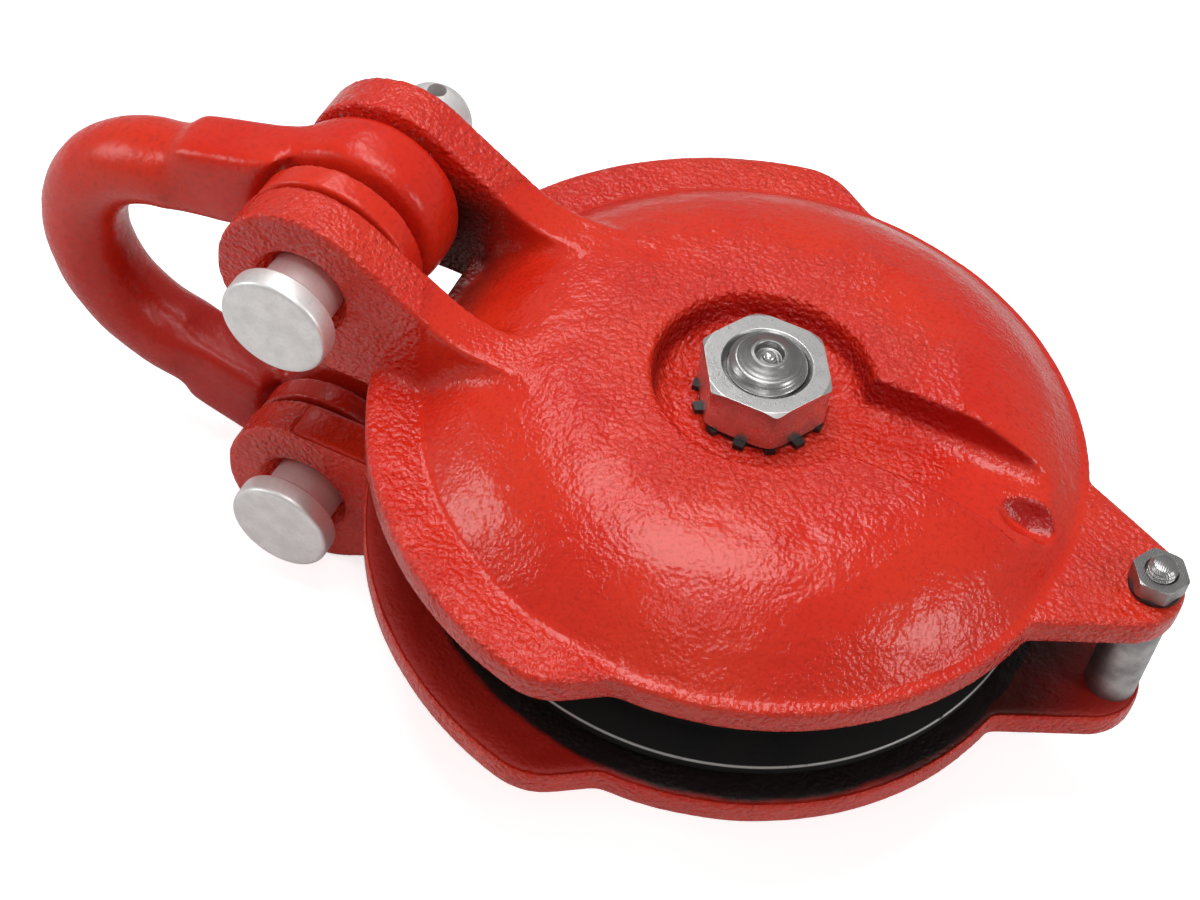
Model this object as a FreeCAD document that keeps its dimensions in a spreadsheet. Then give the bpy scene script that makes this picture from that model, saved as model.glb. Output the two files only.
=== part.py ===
import FreeCAD, Part
import math
import os
import re

import Sketcher

# Snatch block for a five inch sheave.
# Z is the sheave axis with the nut side up, X is the long axis with the bow at -X,
# Y is the direction of the two clevis pins with their heads at -Y.
# The origin is the centre of the sheave. All lengths are in millimetres, angles in degrees.

SIZES = {
    # cheeks
    "cheek_gap": 25.3,
    "flange_thickness": 7.5,
    "tail_radius": 68.7,
    "lip_step": 9.1,
    "notch_start": 89.5,
    "notch_width": 9.0,
    "notch_rounding": 4.0,
    "lip_corner_rounding": 14.0,
    "edge_chamfer": 0.9,
    "dome_rise": 14.85,
    "dome_flat_radius": 37.0,
    "shoulder_radius": 35.0,
    "shoulder_angle": 45.0,
    "dome_foot_radius": 64.6,
    "foot_height": 2.0,
    "foot_width": 2.0,
    "valley_radius": 68.0,
    "valley_half_width": 1.9,
    "valley_draft": 1.0,
    "valley_depth": 0.9,
    "valley_sweep": 150.0,
    "pocket_depth": 8.2,
    "pocket_floor_radius": 20.5,
    "pocket_draft": 2.0,
    "channel_half_width": 9.1,
    "channel_draft": 1.4,
    "dimple_reach": 58.3,
    "dimple_shift": -1.5,
    "dimple_half_length": 6.8,
    "dimple_half_width": 3.9,
    "dimple_depth": 5.0,
    "core_inner_radius": 27.0,
    "core_outer_radius": 57.0,
    "core_depth": 8.0,
    "core_inner_draft": 2.5,
    "core_outer_draft": 5.0,
    "web_edge": 70.0,
    # ears of the clevises
    "pin_reach": 90.5,
    "pin_height": 32.3,
    "ear_reach": 90.0,
    "ear_inner": 13.4,
    "ear_thickness": 10.0,
    "ear_slope": 32.0,
    "ear_foot_reach": 30.0,
    "gusset_radius": 25.0,
    "gusset_height": 34.0,
    "ear_mouth_radius": 10.0,
    "ear_mouth_depth": 3.0,
    # tail tab and tail bolt
    "nose_reach": 78.8,
    "nose_radius": 12.0,
    "tab_angle": 26.0,
    "bolt_past_nose": 5.5,
    "tail_bolt_radius": 3.0,
    "tail_hole_clearance": 0.3,
    "tail_flats": 10.0,
    "tail_head_height": 4.0,
    "tail_nut_height": 5.0,
    "tail_bolt_end": 1.3,
    "tail_end_chamfer": 0.8,
    "tail_washer_radius": 5.3,
    "tail_washer_thickness": 0.9,
    "spacer_radius": 5.4,
    # sheave
    "sheave_radius": 63.5,
    "rope_radius": 5.4,
    "groove_depth": 9.5,
    "groove_flank": 20.0,
    "rim_chamfer": 1.0,
    "rim_inner_radius": 50.0,
    "hub_radius": 23.0,
    "web_half_thickness": 4.5,
    "web_draft": 2.0,
    "axial_play": 0.3,
    # axle
    "bush_radius": 15.0,
    "sleeve_radius": 11.0,
    "axle_radius": 8.0,
    "axle_flats": 24.0,
    "axle_head_height": 10.0,
    "axle_nut_height": 10.35,
    "axle_end": 1.6,
    "axle_end_chamfer": 1.5,
    "axle_clearance": 0.15,
    "thrust_radius": 21.0,
    "thrust_thickness": 2.2,
    "lock_washer_thickness": 1.25,
    "lock_washer_ring": 12.0,
    "lock_washer_teeth": 13,
    "tooth_radius": 13.6,
    "tooth_half_width": 1.3,
    "tooth_taper": 0.26,
    "tooth_phase": -3.5,
    "grease_drill_radius": 2.0,
    "grease_drill_depth": 42.0,
    "grease_cross_radius": 1.5,
    "grease_groove_depth": 1.0,
    "grease_groove_width": 4.0,
    "fitting_radius": 4.3,
    "fitting_height": 1.6,
    "fitting_chamfer": 1.4,
    "fitting_stem": 6.0,
    "fitting_mouth_radius": 1.8,
    "fitting_mouth_depth": 2.4,
    "ball_radius": 1.3,
    # pins, collars and bow
    "pin_radius": 8.0,
    "pin_head_radius": 11.6,
    "pin_head_thickness": 5.0,
    "pin_head_chamfer": 0.6,
    "pin_head_gap": 6.0,
    "pin_end_reach": 40.0,
    "pin_end_chamfer": 1.2,
    "cross_hole_radius": 2.1,
    "cross_hole_inset": 4.5,
    "running_fit": 0.05,
    "collar_gap": 1.5,
    "collar_radius": 18.8,
    "collar_thickness": 6.0,
    "eye_radius": 19.2,
    "eye_width": 15.2,
    "eye_offset": 5.3,
    "eye_chamfer": 1.5,
    "spot_face_margin": 1.2,
    "crown_reach": 131.0,
    "crown_radius": 27.2,
    "rod_radius": 9.8,
    "leg_width": 15.4,
    "leg_start_inner": 19.5,
    "leg_start_outer": 39.4,
    "leg_end_inner": 28.5,
    "leg_end_outer": 51.2,
    "leg_rounding": 2.0,
}

# Lengths that follow from the sizes above, as expressions of them.
FLANGE_TOP = "(cheek_gap / 2 + flange_thickness)"
DOME_TOP = "(cheek_gap / 2 + flange_thickness + dome_rise)"
POCKET_FLOOR = "(cheek_gap / 2 + flange_thickness + dome_rise - pocket_depth)"
EAR_RADIUS = "(pin_height - cheek_gap / 2)"
EAR_OUTER = "(ear_inner + ear_thickness)"
LIP_RADIUS = "(tail_radius + lip_step)"
TAIL_BOLT_REACH = "(nose_reach + bolt_past_nose)"
EYE_NEAR_FACE = "(eye_offset - eye_width / 2)"
HUB_HALF_WIDTH = "(cheek_gap / 2 - thrust_thickness - axial_play)"
NUT_BOTTOM = "(cheek_gap / 2 + flange_thickness + dome_rise - pocket_depth + lock_washer_thickness)"

# A cut starts this far outside the material, and a joined piece starts this far inside it.
BEYOND = 5.0
OVERLAP = 1.0

# Hexagons are turned off at their corners between these shares of the width across flats.
CORNER_START = 0.475
CORNER_END = 0.7
CORNER_ANGLE = 30
# The countersink of a nut is this share of the bore's radius.
SINK_SHARE = 0.14

doc = FreeCAD.newDocument("snatch_block")
sheet = doc.addObject("Spreadsheet::Sheet", "Sizes")


def fill_sheet():
    """Write every size into the sheet under its own alias."""
    for row, (alias, size) in enumerate(SIZES.items(), start=1):
        sheet.set(f"A{row}", alias)
        sheet.set(f"B{row}", str(size))
        sheet.setAlias(f"B{row}", alias)
    doc.recompute()


def link(expression):
    """Point every size name in an expression at the sheet."""
    def as_link(match):
        word = match.group()
        return f"Sizes.{word}" if word in SIZES else word
    return re.sub(r"[a-z][a-z_]*", as_link, str(expression))


def number(expression):
    """Give the present value of an expression of sizes."""
    answer = sheet.evalExpression(str(expression))
    return float(getattr(answer, "Value", answer))


def bind(thing, prop, expression):
    """Bind one property of an object to an expression of sizes."""
    thing.setExpression(prop, link(expression))


def new_body(label, x="0", y="0", z="0"):
    """Start a sub-part and put its own origin at the given place."""
    body = doc.addObject("PartDesign::Body", label)
    body.Label = label
    for axis, place in (("x", x), ("y", y), ("z", z)):
        if place != "0":
            bind(body, f"Placement.Base.{axis}", place)
    return body


def plane_of(body, role):
    """Find one of the origin planes or axes of a body by its role."""
    return next(item for item in body.Origin.OriginFeatures if item.Role == role)


def new_sketch(body, name, role, offset="0", across="0"):
    """Open a sketch on an origin plane of the body, moved along the normal and across the plane."""
    sketch = body.newObject("Sketcher::SketchObject", name)
    sketch.AttachmentSupport = (plane_of(body, role), [""])
    sketch.MapMode = "FlatFace"
    for axis, move in (("x", across), ("z", offset)):
        if move != "0":
            bind(sketch, f"AttachmentOffset.Base.{axis}", move)
    return sketch


def hold(sketch, edge, spot, x, y):
    """Fix a point of a sketch edge at a place given by expressions."""
    for kind, where in (("DistanceX", x), ("DistanceY", y)):
        index = sketch.addConstraint(Sketcher.Constraint(kind, -1, 1, edge, spot, number(where)))
        bind(sketch, f"Constraints[{index}]", where)


def circle(sketch, radius, x="0", y="0"):
    """Draw a circle of a sheet radius round a point."""
    centre = FreeCAD.Vector(number(x), number(y), 0)
    edge = sketch.addGeometry(Part.Circle(centre, FreeCAD.Vector(0, 0, 1), number(radius)), False)
    index = sketch.addConstraint(Sketcher.Constraint("Radius", edge, number(radius)))
    bind(sketch, f"Constraints[{index}]", radius)
    hold(sketch, edge, 3, x, y)


def arc_between(start, end, radius, turn, long_way):
    """Make the arc from start to end that bends left (turn 1) or right (turn -1)."""
    chord = end - start
    left = FreeCAD.Vector(-chord.y, chord.x, 0).normalize()
    reach = math.sqrt(max(radius ** 2 - (chord.Length / 2) ** 2, 0))
    side = -turn if long_way else turn
    centre = (start + end) * 0.5 + left * (side * reach)
    first, last = (start, end) if turn > 0 else (end, start)
    angles = [math.atan2(point.y - centre.y, point.x - centre.x) for point in (first, last)]
    return Part.ArcOfCircle(Part.Circle(centre, FreeCAD.Vector(0, 0, 1), radius), *angles)


def outline(sketch, corners, bends=None, flip=1, closed=True):
    """Draw a chain of edges through the corners.

    Corners are pairs of expressions. Bends gives (radius, turn, long_way) for the edges that are
    arcs, keyed by the number of the corner they start from. Flip -1 mirrors the second coordinate.
    """
    bends = bends or {}
    sign = "" if flip > 0 else "-1 * "
    corners = [(x, f"{sign}({y})") for x, y in corners]
    points = [FreeCAD.Vector(number(x), number(y), 0) for x, y in corners]
    count = len(points) if closed else len(points) - 1
    heads = []
    for spot in range(count):
        start, end = points[spot], points[(spot + 1) % len(points)]
        if spot in bends:
            radius, turn, long_way = bends[spot]
            turn = turn * flip
            edge = sketch.addGeometry(arc_between(start, end, number(radius), turn, long_way), False)
            heads.append((edge, (1, 2) if turn > 0 else (2, 1)))
        else:
            edge = sketch.addGeometry(Part.LineSegment(start, end), False)
            heads.append((edge, (1, 2)))
    for spot in range(count):
        edge, ends = heads[spot]
        hold(sketch, edge, ends[0], *corners[spot])
        if closed or spot + 1 < count:
            following, next_ends = heads[(spot + 1) % count]
            sketch.addConstraint(Sketcher.Constraint("Coincident", edge, ends[1], following, next_ends[0]))
        else:
            hold(sketch, edge, ends[1], *corners[spot + 1])
        if spot in bends:
            index = sketch.addConstraint(Sketcher.Constraint("Radius", edge, number(bends[spot][0])))
            bind(sketch, f"Constraints[{index}]", bends[spot][0])


def extrude(body, kind, sketch, name, length, symmetric=False, reverse=False):
    """Add a pad or a pocket of a sheet length."""
    feature = body.newObject(f"PartDesign::{kind}", name)
    feature.Profile = sketch
    bind(feature, "Length", length)
    feature.SideType = "Symmetric" if symmetric else "One side"
    feature.Reversed = reverse
    sketch.Visibility = False
    return feature


def turn_round(body, kind, sketch, name, sweep="360"):
    """Revolve a sketch round its own vertical axis, half of the sweep to each side of its plane."""
    feature = body.newObject(f"PartDesign::{kind}", name)
    feature.Profile = sketch
    feature.ReferenceAxis = (sketch, ["V_Axis"])
    feature.Midplane = True
    bind(feature, "Angle", f"({sweep}) * 1 deg")
    sketch.Visibility = False
    return feature


def mirror(body, features, name, role):
    """Repeat features on the other side of an origin plane."""
    copy = body.newObject("PartDesign::Mirrored", name)
    copy.Originals = features
    copy.MirrorPlane = (plane_of(body, role), [""])
    body.Tip = copy
    return copy


def break_edges(body, kind, name, length, chosen):
    """Put a Fillet or a Chamfer of a sheet length on the edges of the present shape that the test picks."""
    doc.recompute()
    base = body.Tip
    names = [f"Edge{place}" for place, edge in enumerate(base.Shape.Edges, start=1) if chosen(edge)]
    feature = body.newObject(f"PartDesign::{kind}", name)
    feature.Base = (base, names)
    bind(feature, "Radius" if kind == "Fillet" else "Size", length)
    return feature


def ring(label, inner, outer, bottom, top, role="XZ_Plane", x="0", y="0", z="0"):
    """Build a plain ring round the vertical axis of the given plane."""
    body = new_body(label, x, y, z)
    sketch = new_sketch(body, f"{label}_section", role)
    outline(sketch, [(inner, bottom), (outer, bottom), (outer, top), (inner, top)])
    turn_round(body, "Revolution", sketch, f"{label}_turned")
    return body


def hexagon(sketch, flats):
    """Draw a hexagon with two corners on the first axis."""
    corners = [
        (f"({flats}) / sqrt(3) * cos({60 * spot})", f"({flats}) / sqrt(3) * sin({60 * spot})")
        for spot in range(6)
    ]
    outline(sketch, corners)


def chamfer_hexagon(body, name, flats, level, away):
    """Turn the corners of a hexagon off at thirty degrees; away is the outward side of the level."""
    sketch = new_sketch(body, f"{name}_section", "XZ_Plane")
    start = f"({flats}) * {CORNER_START}"
    end = f"({flats}) * {CORNER_END}"
    drop = f"({level}) - {away} * ({end} - {start}) * tan({CORNER_ANGLE})"
    outline(sketch, [(start, level), (end, level), (end, drop)])
    return turn_round(body, "Groove", sketch, name)


def build_cheek(label, side):
    """Cast one cheek: flange, dome, ears, tail tab, nut pocket and channel.

    Side is 1 for the upper cheek and -1 for the lower one.
    """
    body = new_body(label)
    level = f"{side} * "

    # the flange plate with its lip, notches and tail tab
    plan = new_sketch(body, f"{label}_plan", "XY_Plane", f"{level}cheek_gap / 2")
    tab_line = "(nose_reach * sin(tab_angle) + nose_radius)"
    corner_angle = f"(90 deg - tab_angle * 1 deg - acos({tab_line} / tail_radius))"
    upper_half = [
        ("nose_reach + nose_radius * sin(tab_angle)", "nose_radius * cos(tab_angle)"),
        (f"tail_radius * cos({corner_angle})", f"tail_radius * sin({corner_angle})"),
        ("tail_radius * cos(notch_start)", "tail_radius * sin(notch_start)"),
        (f"{LIP_RADIUS} * cos(notch_start + notch_width)", f"{LIP_RADIUS} * sin(notch_start + notch_width)"),
    ]
    lower_half = [(x, f"-1 * ({y})") for x, y in reversed(upper_half)]
    bends = {
        1: ("tail_radius", 1, False),
        3: (LIP_RADIUS, 1, False),
        5: ("tail_radius", 1, False),
        7: ("nose_radius", 1, False),
    }
    outline(plan, upper_half + lower_half, bends)
    extrude(body, "Pad", plan, f"{label}_flange", "flange_thickness", reverse=side < 0)

    def upright_at(edge, corner):
        middle = edge.BoundBox.Center
        across = math.dist((middle.x, abs(middle.y)), (number(corner[0]), number(corner[1])))
        return abs(edge.BoundBox.ZLength - number("flange_thickness")) < 0.01 and across < 0.5

    break_edges(body, "Fillet", f"{label}_notch_rounding", "notch_rounding", lambda edge: (
        upright_at(edge, upper_half[2])))
    break_edges(body, "Fillet", f"{label}_lip_corner_rounding", "lip_corner_rounding", lambda edge: (
        upright_at(edge, upper_half[3])))
    break_edges(body, "Chamfer", f"{label}_edge_chamfer", "edge_chamfer", lambda edge: (
        edge.BoundBox.ZLength < 0.01))

    # the slot in the flange between the ears
    slot = new_sketch(body, f"{label}_slot_plan", "XY_Plane")
    far = f"-1 * ({LIP_RADIUS} + {BEYOND})"
    outline(slot, [(far, "-1 * ear_inner"), ("-1 * web_edge", "-1 * ear_inner"),
                   ("-1 * web_edge", "ear_inner"), (far, "ear_inner")])
    extrude(body, "Pocket", slot, f"{label}_slot", "cheek_gap * 4", symmetric=True)

    # the domed back
    dome = new_sketch(body, f"{label}_dome_section", "XZ_Plane")
    shoulder_end = (
        "dome_flat_radius + shoulder_radius * sin(shoulder_angle)",
        f"{DOME_TOP} - shoulder_radius * (1 - cos(shoulder_angle))",
    )
    outline(
        dome,
        [("0", "cheek_gap / 2"), ("0", DOME_TOP), ("dome_flat_radius", DOME_TOP), shoulder_end,
         ("dome_foot_radius", f"{FLANGE_TOP} + foot_height"), ("dome_foot_radius + foot_width", FLANGE_TOP),
         ("dome_foot_radius + foot_width", "cheek_gap / 2")],
        {2: ("shoulder_radius", -1, False)},
        flip=side,
    )
    turn_round(body, "Revolution", dome, f"{label}_dome")

    # the shallow valley between the foot of the dome and the band along the lip
    valley = new_sketch(body, f"{label}_valley_section", "XZ_Plane")
    near_wall = "(valley_radius - valley_half_width)"
    far_wall = "(valley_radius + valley_half_width)"
    outline(
        valley,
        [(f"-1 * {near_wall}", f"{FLANGE_TOP} + {OVERLAP}"), (f"-1 * {near_wall}", FLANGE_TOP),
         (f"-1 * ({near_wall} + valley_draft)", f"{FLANGE_TOP} - valley_depth"),
         (f"-1 * ({far_wall} - valley_draft)", f"{FLANGE_TOP} - valley_depth"),
         (f"-1 * {far_wall}", FLANGE_TOP), (f"-1 * {far_wall}", f"{FLANGE_TOP} + {OVERLAP}")],
        flip=side,
    )
    turn_round(body, "Groove", valley, f"{label}_valley", "valley_sweep")

    # the two ears of the clevis, one drawn and one mirrored
    ear = new_sketch(body, f"{label}_ear_section", "XZ_Plane", "ear_inner")
    crest_x = f"-1 * ear_reach + {EAR_RADIUS} * sin(ear_slope)"
    crest_z = f"pin_height + {EAR_RADIUS} * cos(ear_slope)"
    bend_z = "gusset_height + gusset_radius * (1 - cos(ear_slope))"
    bend_x = f"{crest_x} + ({crest_z} - ({bend_z})) / tan(ear_slope)"
    outline(
        ear,
        [(crest_x, crest_z), (bend_x, bend_z),
         (f"{bend_x} + gusset_radius * sin(ear_slope)", "gusset_height"),
         ("-1 * ear_foot_reach", "gusset_height"), ("-1 * ear_foot_reach", "cheek_gap / 2"),
         ("-1 * ear_reach", "cheek_gap / 2")],
        {1: ("gusset_radius", 1, False), 5: (EAR_RADIUS, -1, True)},
        flip=side,
    )
    near_ear = extrude(body, "Pad", ear, f"{label}_near_ear", "ear_thickness")
    mirror(body, [near_ear], f"{label}_far_ear", "XZ_Plane")

    # the hollow that is cored out of the inner face
    core = new_sketch(body, f"{label}_core_section", "XZ_Plane")
    outline(
        core,
        [("core_inner_radius", "cheek_gap / 2"),
         ("core_inner_radius + core_inner_draft", "cheek_gap / 2 + core_depth"),
         ("core_outer_radius - core_outer_draft", "cheek_gap / 2 + core_depth"),
         ("core_outer_radius", "cheek_gap / 2")],
        flip=side,
    )
    turn_round(body, "Groove", core, f"{label}_core")

    # the round pocket for the nut or the bolt head
    pocket = new_sketch(body, f"{label}_pocket_section", "XZ_Plane")
    outline(
        pocket,
        [("0", POCKET_FLOOR), ("pocket_floor_radius", POCKET_FLOOR),
         ("pocket_floor_radius + pocket_draft", DOME_TOP),
         ("pocket_floor_radius + pocket_draft", f"{DOME_TOP} + {BEYOND}"),
         ("0", f"{DOME_TOP} + {BEYOND}")],
        flip=side,
    )
    turn_round(body, "Groove", pocket, f"{label}_pocket")

    # the channel that runs from the pocket to the tail side
    channel = new_sketch(body, f"{label}_channel_section", "YZ_Plane")
    outline(
        channel,
        [("-1 * channel_half_width", POCKET_FLOOR), ("channel_half_width", POCKET_FLOOR),
         ("channel_half_width + channel_draft", f"{DOME_TOP} + {OVERLAP}"),
         ("-1 * (channel_half_width + channel_draft)", f"{DOME_TOP} + {OVERLAP}")],
        flip=side,
    )
    extrude(body, "Pocket", channel, f"{label}_channel", "dome_foot_radius", reverse=True)

    # the small dimple at the mouth of the channel
    dimple = body.newObject("PartDesign::SubtractiveEllipsoid", f"{label}_dimple")
    dimple.AttachmentSupport = (plane_of(body, "XY_Plane"), [""])
    dimple.MapMode = "FlatFace"
    bind(dimple, "AttachmentOffset.Base.x", "dimple_reach")
    bind(dimple, "AttachmentOffset.Base.y", "dimple_shift")
    bind(dimple, "AttachmentOffset.Base.z", f"{level}{POCKET_FLOOR}")
    bind(dimple, "Radius1", "dimple_depth")
    bind(dimple, "Radius2", "dimple_half_length")
    bind(dimple, "Radius3", "dimple_half_width")

    # holes for the axle, the tail bolt and the clevis pin
    bores = new_sketch(body, f"{label}_bores", "XY_Plane")
    circle(bores, "axle_radius + axle_clearance")
    circle(bores, "tail_bolt_radius + tail_hole_clearance", x=TAIL_BOLT_REACH)
    extrude(body, "Pocket", bores, f"{label}_bored", "cheek_gap * 4", symmetric=True)

    pin_bore = new_sketch(body, f"{label}_pin_bore", "XZ_Plane")
    circle(pin_bore, "pin_radius + running_fit", x="-1 * pin_reach", y=f"{level}pin_height")
    extrude(body, "Pocket", pin_bore, f"{label}_pin_bored", f"{EAR_OUTER} * 3", symmetric=True)

    mouth = new_sketch(body, f"{label}_pin_mouth", "XZ_Plane", EAR_OUTER)
    circle(mouth, "ear_mouth_radius", x="-1 * pin_reach", y=f"{level}pin_height")
    near_mouth = extrude(body, "Pocket", mouth, f"{label}_near_mouth", "ear_mouth_depth")
    mirror(body, [near_mouth], f"{label}_far_mouth", "XZ_Plane")
    return body


def build_sheave():
    """Turn the grooved sheave."""
    body = new_body("sheave")
    section = new_sketch(body, "sheave_section", "XZ_Plane")
    centre = "(sheave_radius - groove_depth + rope_radius)"
    touch_x = f"({centre} - rope_radius * sin(groove_flank))"
    touch_z = "(rope_radius * cos(groove_flank))"
    mouth = f"({touch_z} + (sheave_radius - {touch_x}) * tan(groove_flank))"
    half = [
        (touch_x, touch_z),
        ("sheave_radius", mouth),
        ("sheave_radius", f"{HUB_HALF_WIDTH} - rim_chamfer"),
        ("sheave_radius - rim_chamfer", HUB_HALF_WIDTH),
        ("rim_inner_radius", HUB_HALF_WIDTH),
        ("rim_inner_radius - web_draft", "web_half_thickness"),
        ("hub_radius + web_draft", "web_half_thickness"),
        ("hub_radius", HUB_HALF_WIDTH),
        ("bush_radius", HUB_HALF_WIDTH),
    ]
    other = [(x, f"-1 * ({z})") for x, z in reversed(half)]
    outline(section, half + other, {2 * len(half) - 1: ("rope_radius", -1, False)})
    turn_round(body, "Revolution", section, "sheave_turned")
    return body


def build_bush():
    """Turn the bronze bush with its inner grease groove."""
    body = new_body("sheave_bush")
    section = new_sketch(body, "bush_section", "XZ_Plane")
    bore = "sleeve_radius + running_fit"
    deep = f"{bore} + grease_groove_depth"
    outline(section, [
        (bore, f"-1 * {HUB_HALF_WIDTH}"), ("bush_radius", f"-1 * {HUB_HALF_WIDTH}"),
        ("bush_radius", HUB_HALF_WIDTH), (bore, HUB_HALF_WIDTH),
        (bore, "grease_groove_width / 2"), (deep, "grease_groove_width / 2"),
        (deep, "-1 * grease_groove_width / 2"), (bore, "-1 * grease_groove_width / 2"),
    ])
    turn_round(body, "Revolution", section, "bush_turned")
    return body


def build_sleeve():
    """Turn the sleeve that keeps the cheeks apart and drill it for grease."""
    body = ring("axle_sleeve", "axle_radius", "sleeve_radius", "-1 * cheek_gap / 2", "cheek_gap / 2")
    drill = new_sketch(body, "sleeve_drill", "YZ_Plane")
    circle(drill, "grease_cross_radius")
    extrude(body, "Pocket", drill, "sleeve_drilled", "sleeve_radius * 3", symmetric=True)
    return body


def build_axle_bolt():
    """Build the through bolt: hex head below, plain shank, drilled end above."""
    body = new_body("axle_bolt")
    head = new_sketch(body, "axle_head_plan", "XY_Plane", f"-1 * {POCKET_FLOOR}")
    hexagon(head, "axle_flats")
    extrude(body, "Pad", head, "axle_head", "axle_head_height", reverse=True)
    chamfer_hexagon(body, "axle_head_turned", "axle_flats", f"-1 * ({POCKET_FLOOR} + axle_head_height)", -1)
    shank = new_sketch(body, "axle_shank_section", "XZ_Plane")
    end = f"({NUT_BOTTOM} + axle_nut_height + axle_end)"
    outline(shank, [
        ("0", f"-1 * {POCKET_FLOOR}"), ("axle_radius", f"-1 * {POCKET_FLOOR}"),
        ("axle_radius", f"{end} - axle_end_chamfer"), ("axle_radius - axle_end_chamfer", end), ("0", end),
    ])
    turn_round(body, "Revolution", shank, "axle_shank")
    drill = new_sketch(body, "grease_drill", "XY_Plane", end)
    circle(drill, "grease_drill_radius")
    extrude(body, "Pocket", drill, "grease_drilled", "grease_drill_depth")
    cross = new_sketch(body, "grease_cross", "YZ_Plane")
    circle(cross, "grease_cross_radius")
    extrude(body, "Pocket", cross, "grease_crossed", "axle_radius * 3", symmetric=True)
    return body


def build_nut(label, flats, bore, bottom, height, x="0"):
    """Build a hex nut with turned corners on both faces and a countersunk bore."""
    body = new_body(label, x=x)
    plan = new_sketch(body, f"{label}_plan", "XY_Plane", bottom)
    hexagon(plan, flats)
    circle(plan, bore)
    extrude(body, "Pad", plan, f"{label}_block", height)
    top = f"({bottom} + {height})"
    chamfer_hexagon(body, f"{label}_top_turned", flats, top, 1)
    chamfer_hexagon(body, f"{label}_bottom_turned", flats, bottom, -1)
    sink = new_sketch(body, f"{label}_sink_section", "XZ_Plane")
    depth = f"({bore}) * {SINK_SHARE}"
    outline(sink, [("0", f"{top} - {depth} - ({bore})"), (f"({bore}) + {depth}", top), ("0", top)])
    turn_round(body, "Groove", sink, f"{label}_sink")
    return body


def build_lock_washer():
    """Build the washer with teeth round its outside."""
    body = new_body("axle_lock_washer")
    plan = new_sketch(body, "lock_washer_plan", "XY_Plane", POCKET_FLOOR)
    circle(plan, "lock_washer_ring")
    circle(plan, "axle_radius + axle_clearance")
    extrude(body, "Pad", plan, "lock_washer_ring_pad", "lock_washer_thickness")
    tooth = new_sketch(body, "tooth_plan", "XY_Plane", POCKET_FLOOR)
    root = f"lock_washer_ring - {OVERLAP}"
    outline(tooth, [
        (root, "-1 * tooth_half_width"), ("tooth_radius", "-1 * (tooth_half_width - tooth_taper)"),
        ("tooth_radius", "tooth_half_width - tooth_taper"), (root, "tooth_half_width"),
    ])
    one = extrude(body, "Pad", tooth, "tooth", "lock_washer_thickness")
    teeth = body.newObject("PartDesign::PolarPattern", "teeth")
    teeth.Originals = [one]
    teeth.Axis = (plane_of(body, "Z_Axis"), [""])
    teeth.Angle = 360
    bind(teeth, "Occurrences", "lock_washer_teeth")
    bind(body, "Placement.Rotation.Angle", "tooth_phase * 1 deg")
    body.Tip = teeth
    return body


def build_grease_fitting():
    """Turn the button fitting that is driven into the end of the axle bolt, and its ball."""
    end = f"({NUT_BOTTOM} + axle_nut_height + axle_end)"
    body = new_body("grease_fitting", z=end)
    section = new_sketch(body, "fitting_section", "XZ_Plane")
    floor = "(fitting_height - fitting_mouth_depth)"
    outline(section, [
        ("0", "-1 * fitting_stem"), ("grease_drill_radius", "-1 * fitting_stem"),
        ("grease_drill_radius", "0"), ("fitting_radius", "0"),
        ("fitting_radius", "fitting_height - fitting_chamfer"),
        ("fitting_radius - fitting_chamfer", "fitting_height"),
        ("fitting_mouth_radius", "fitting_height"), ("fitting_mouth_radius", floor), ("0", floor),
    ])
    turn_round(body, "Revolution", section, "fitting_turned")
    ball = doc.addObject("Part::Sphere", "grease_ball")
    ball.Label = "grease_ball"
    bind(ball, "Radius", "ball_radius")
    bind(ball, "Placement.Base.z", f"{end} + {floor} + ball_radius")
    return body


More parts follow.
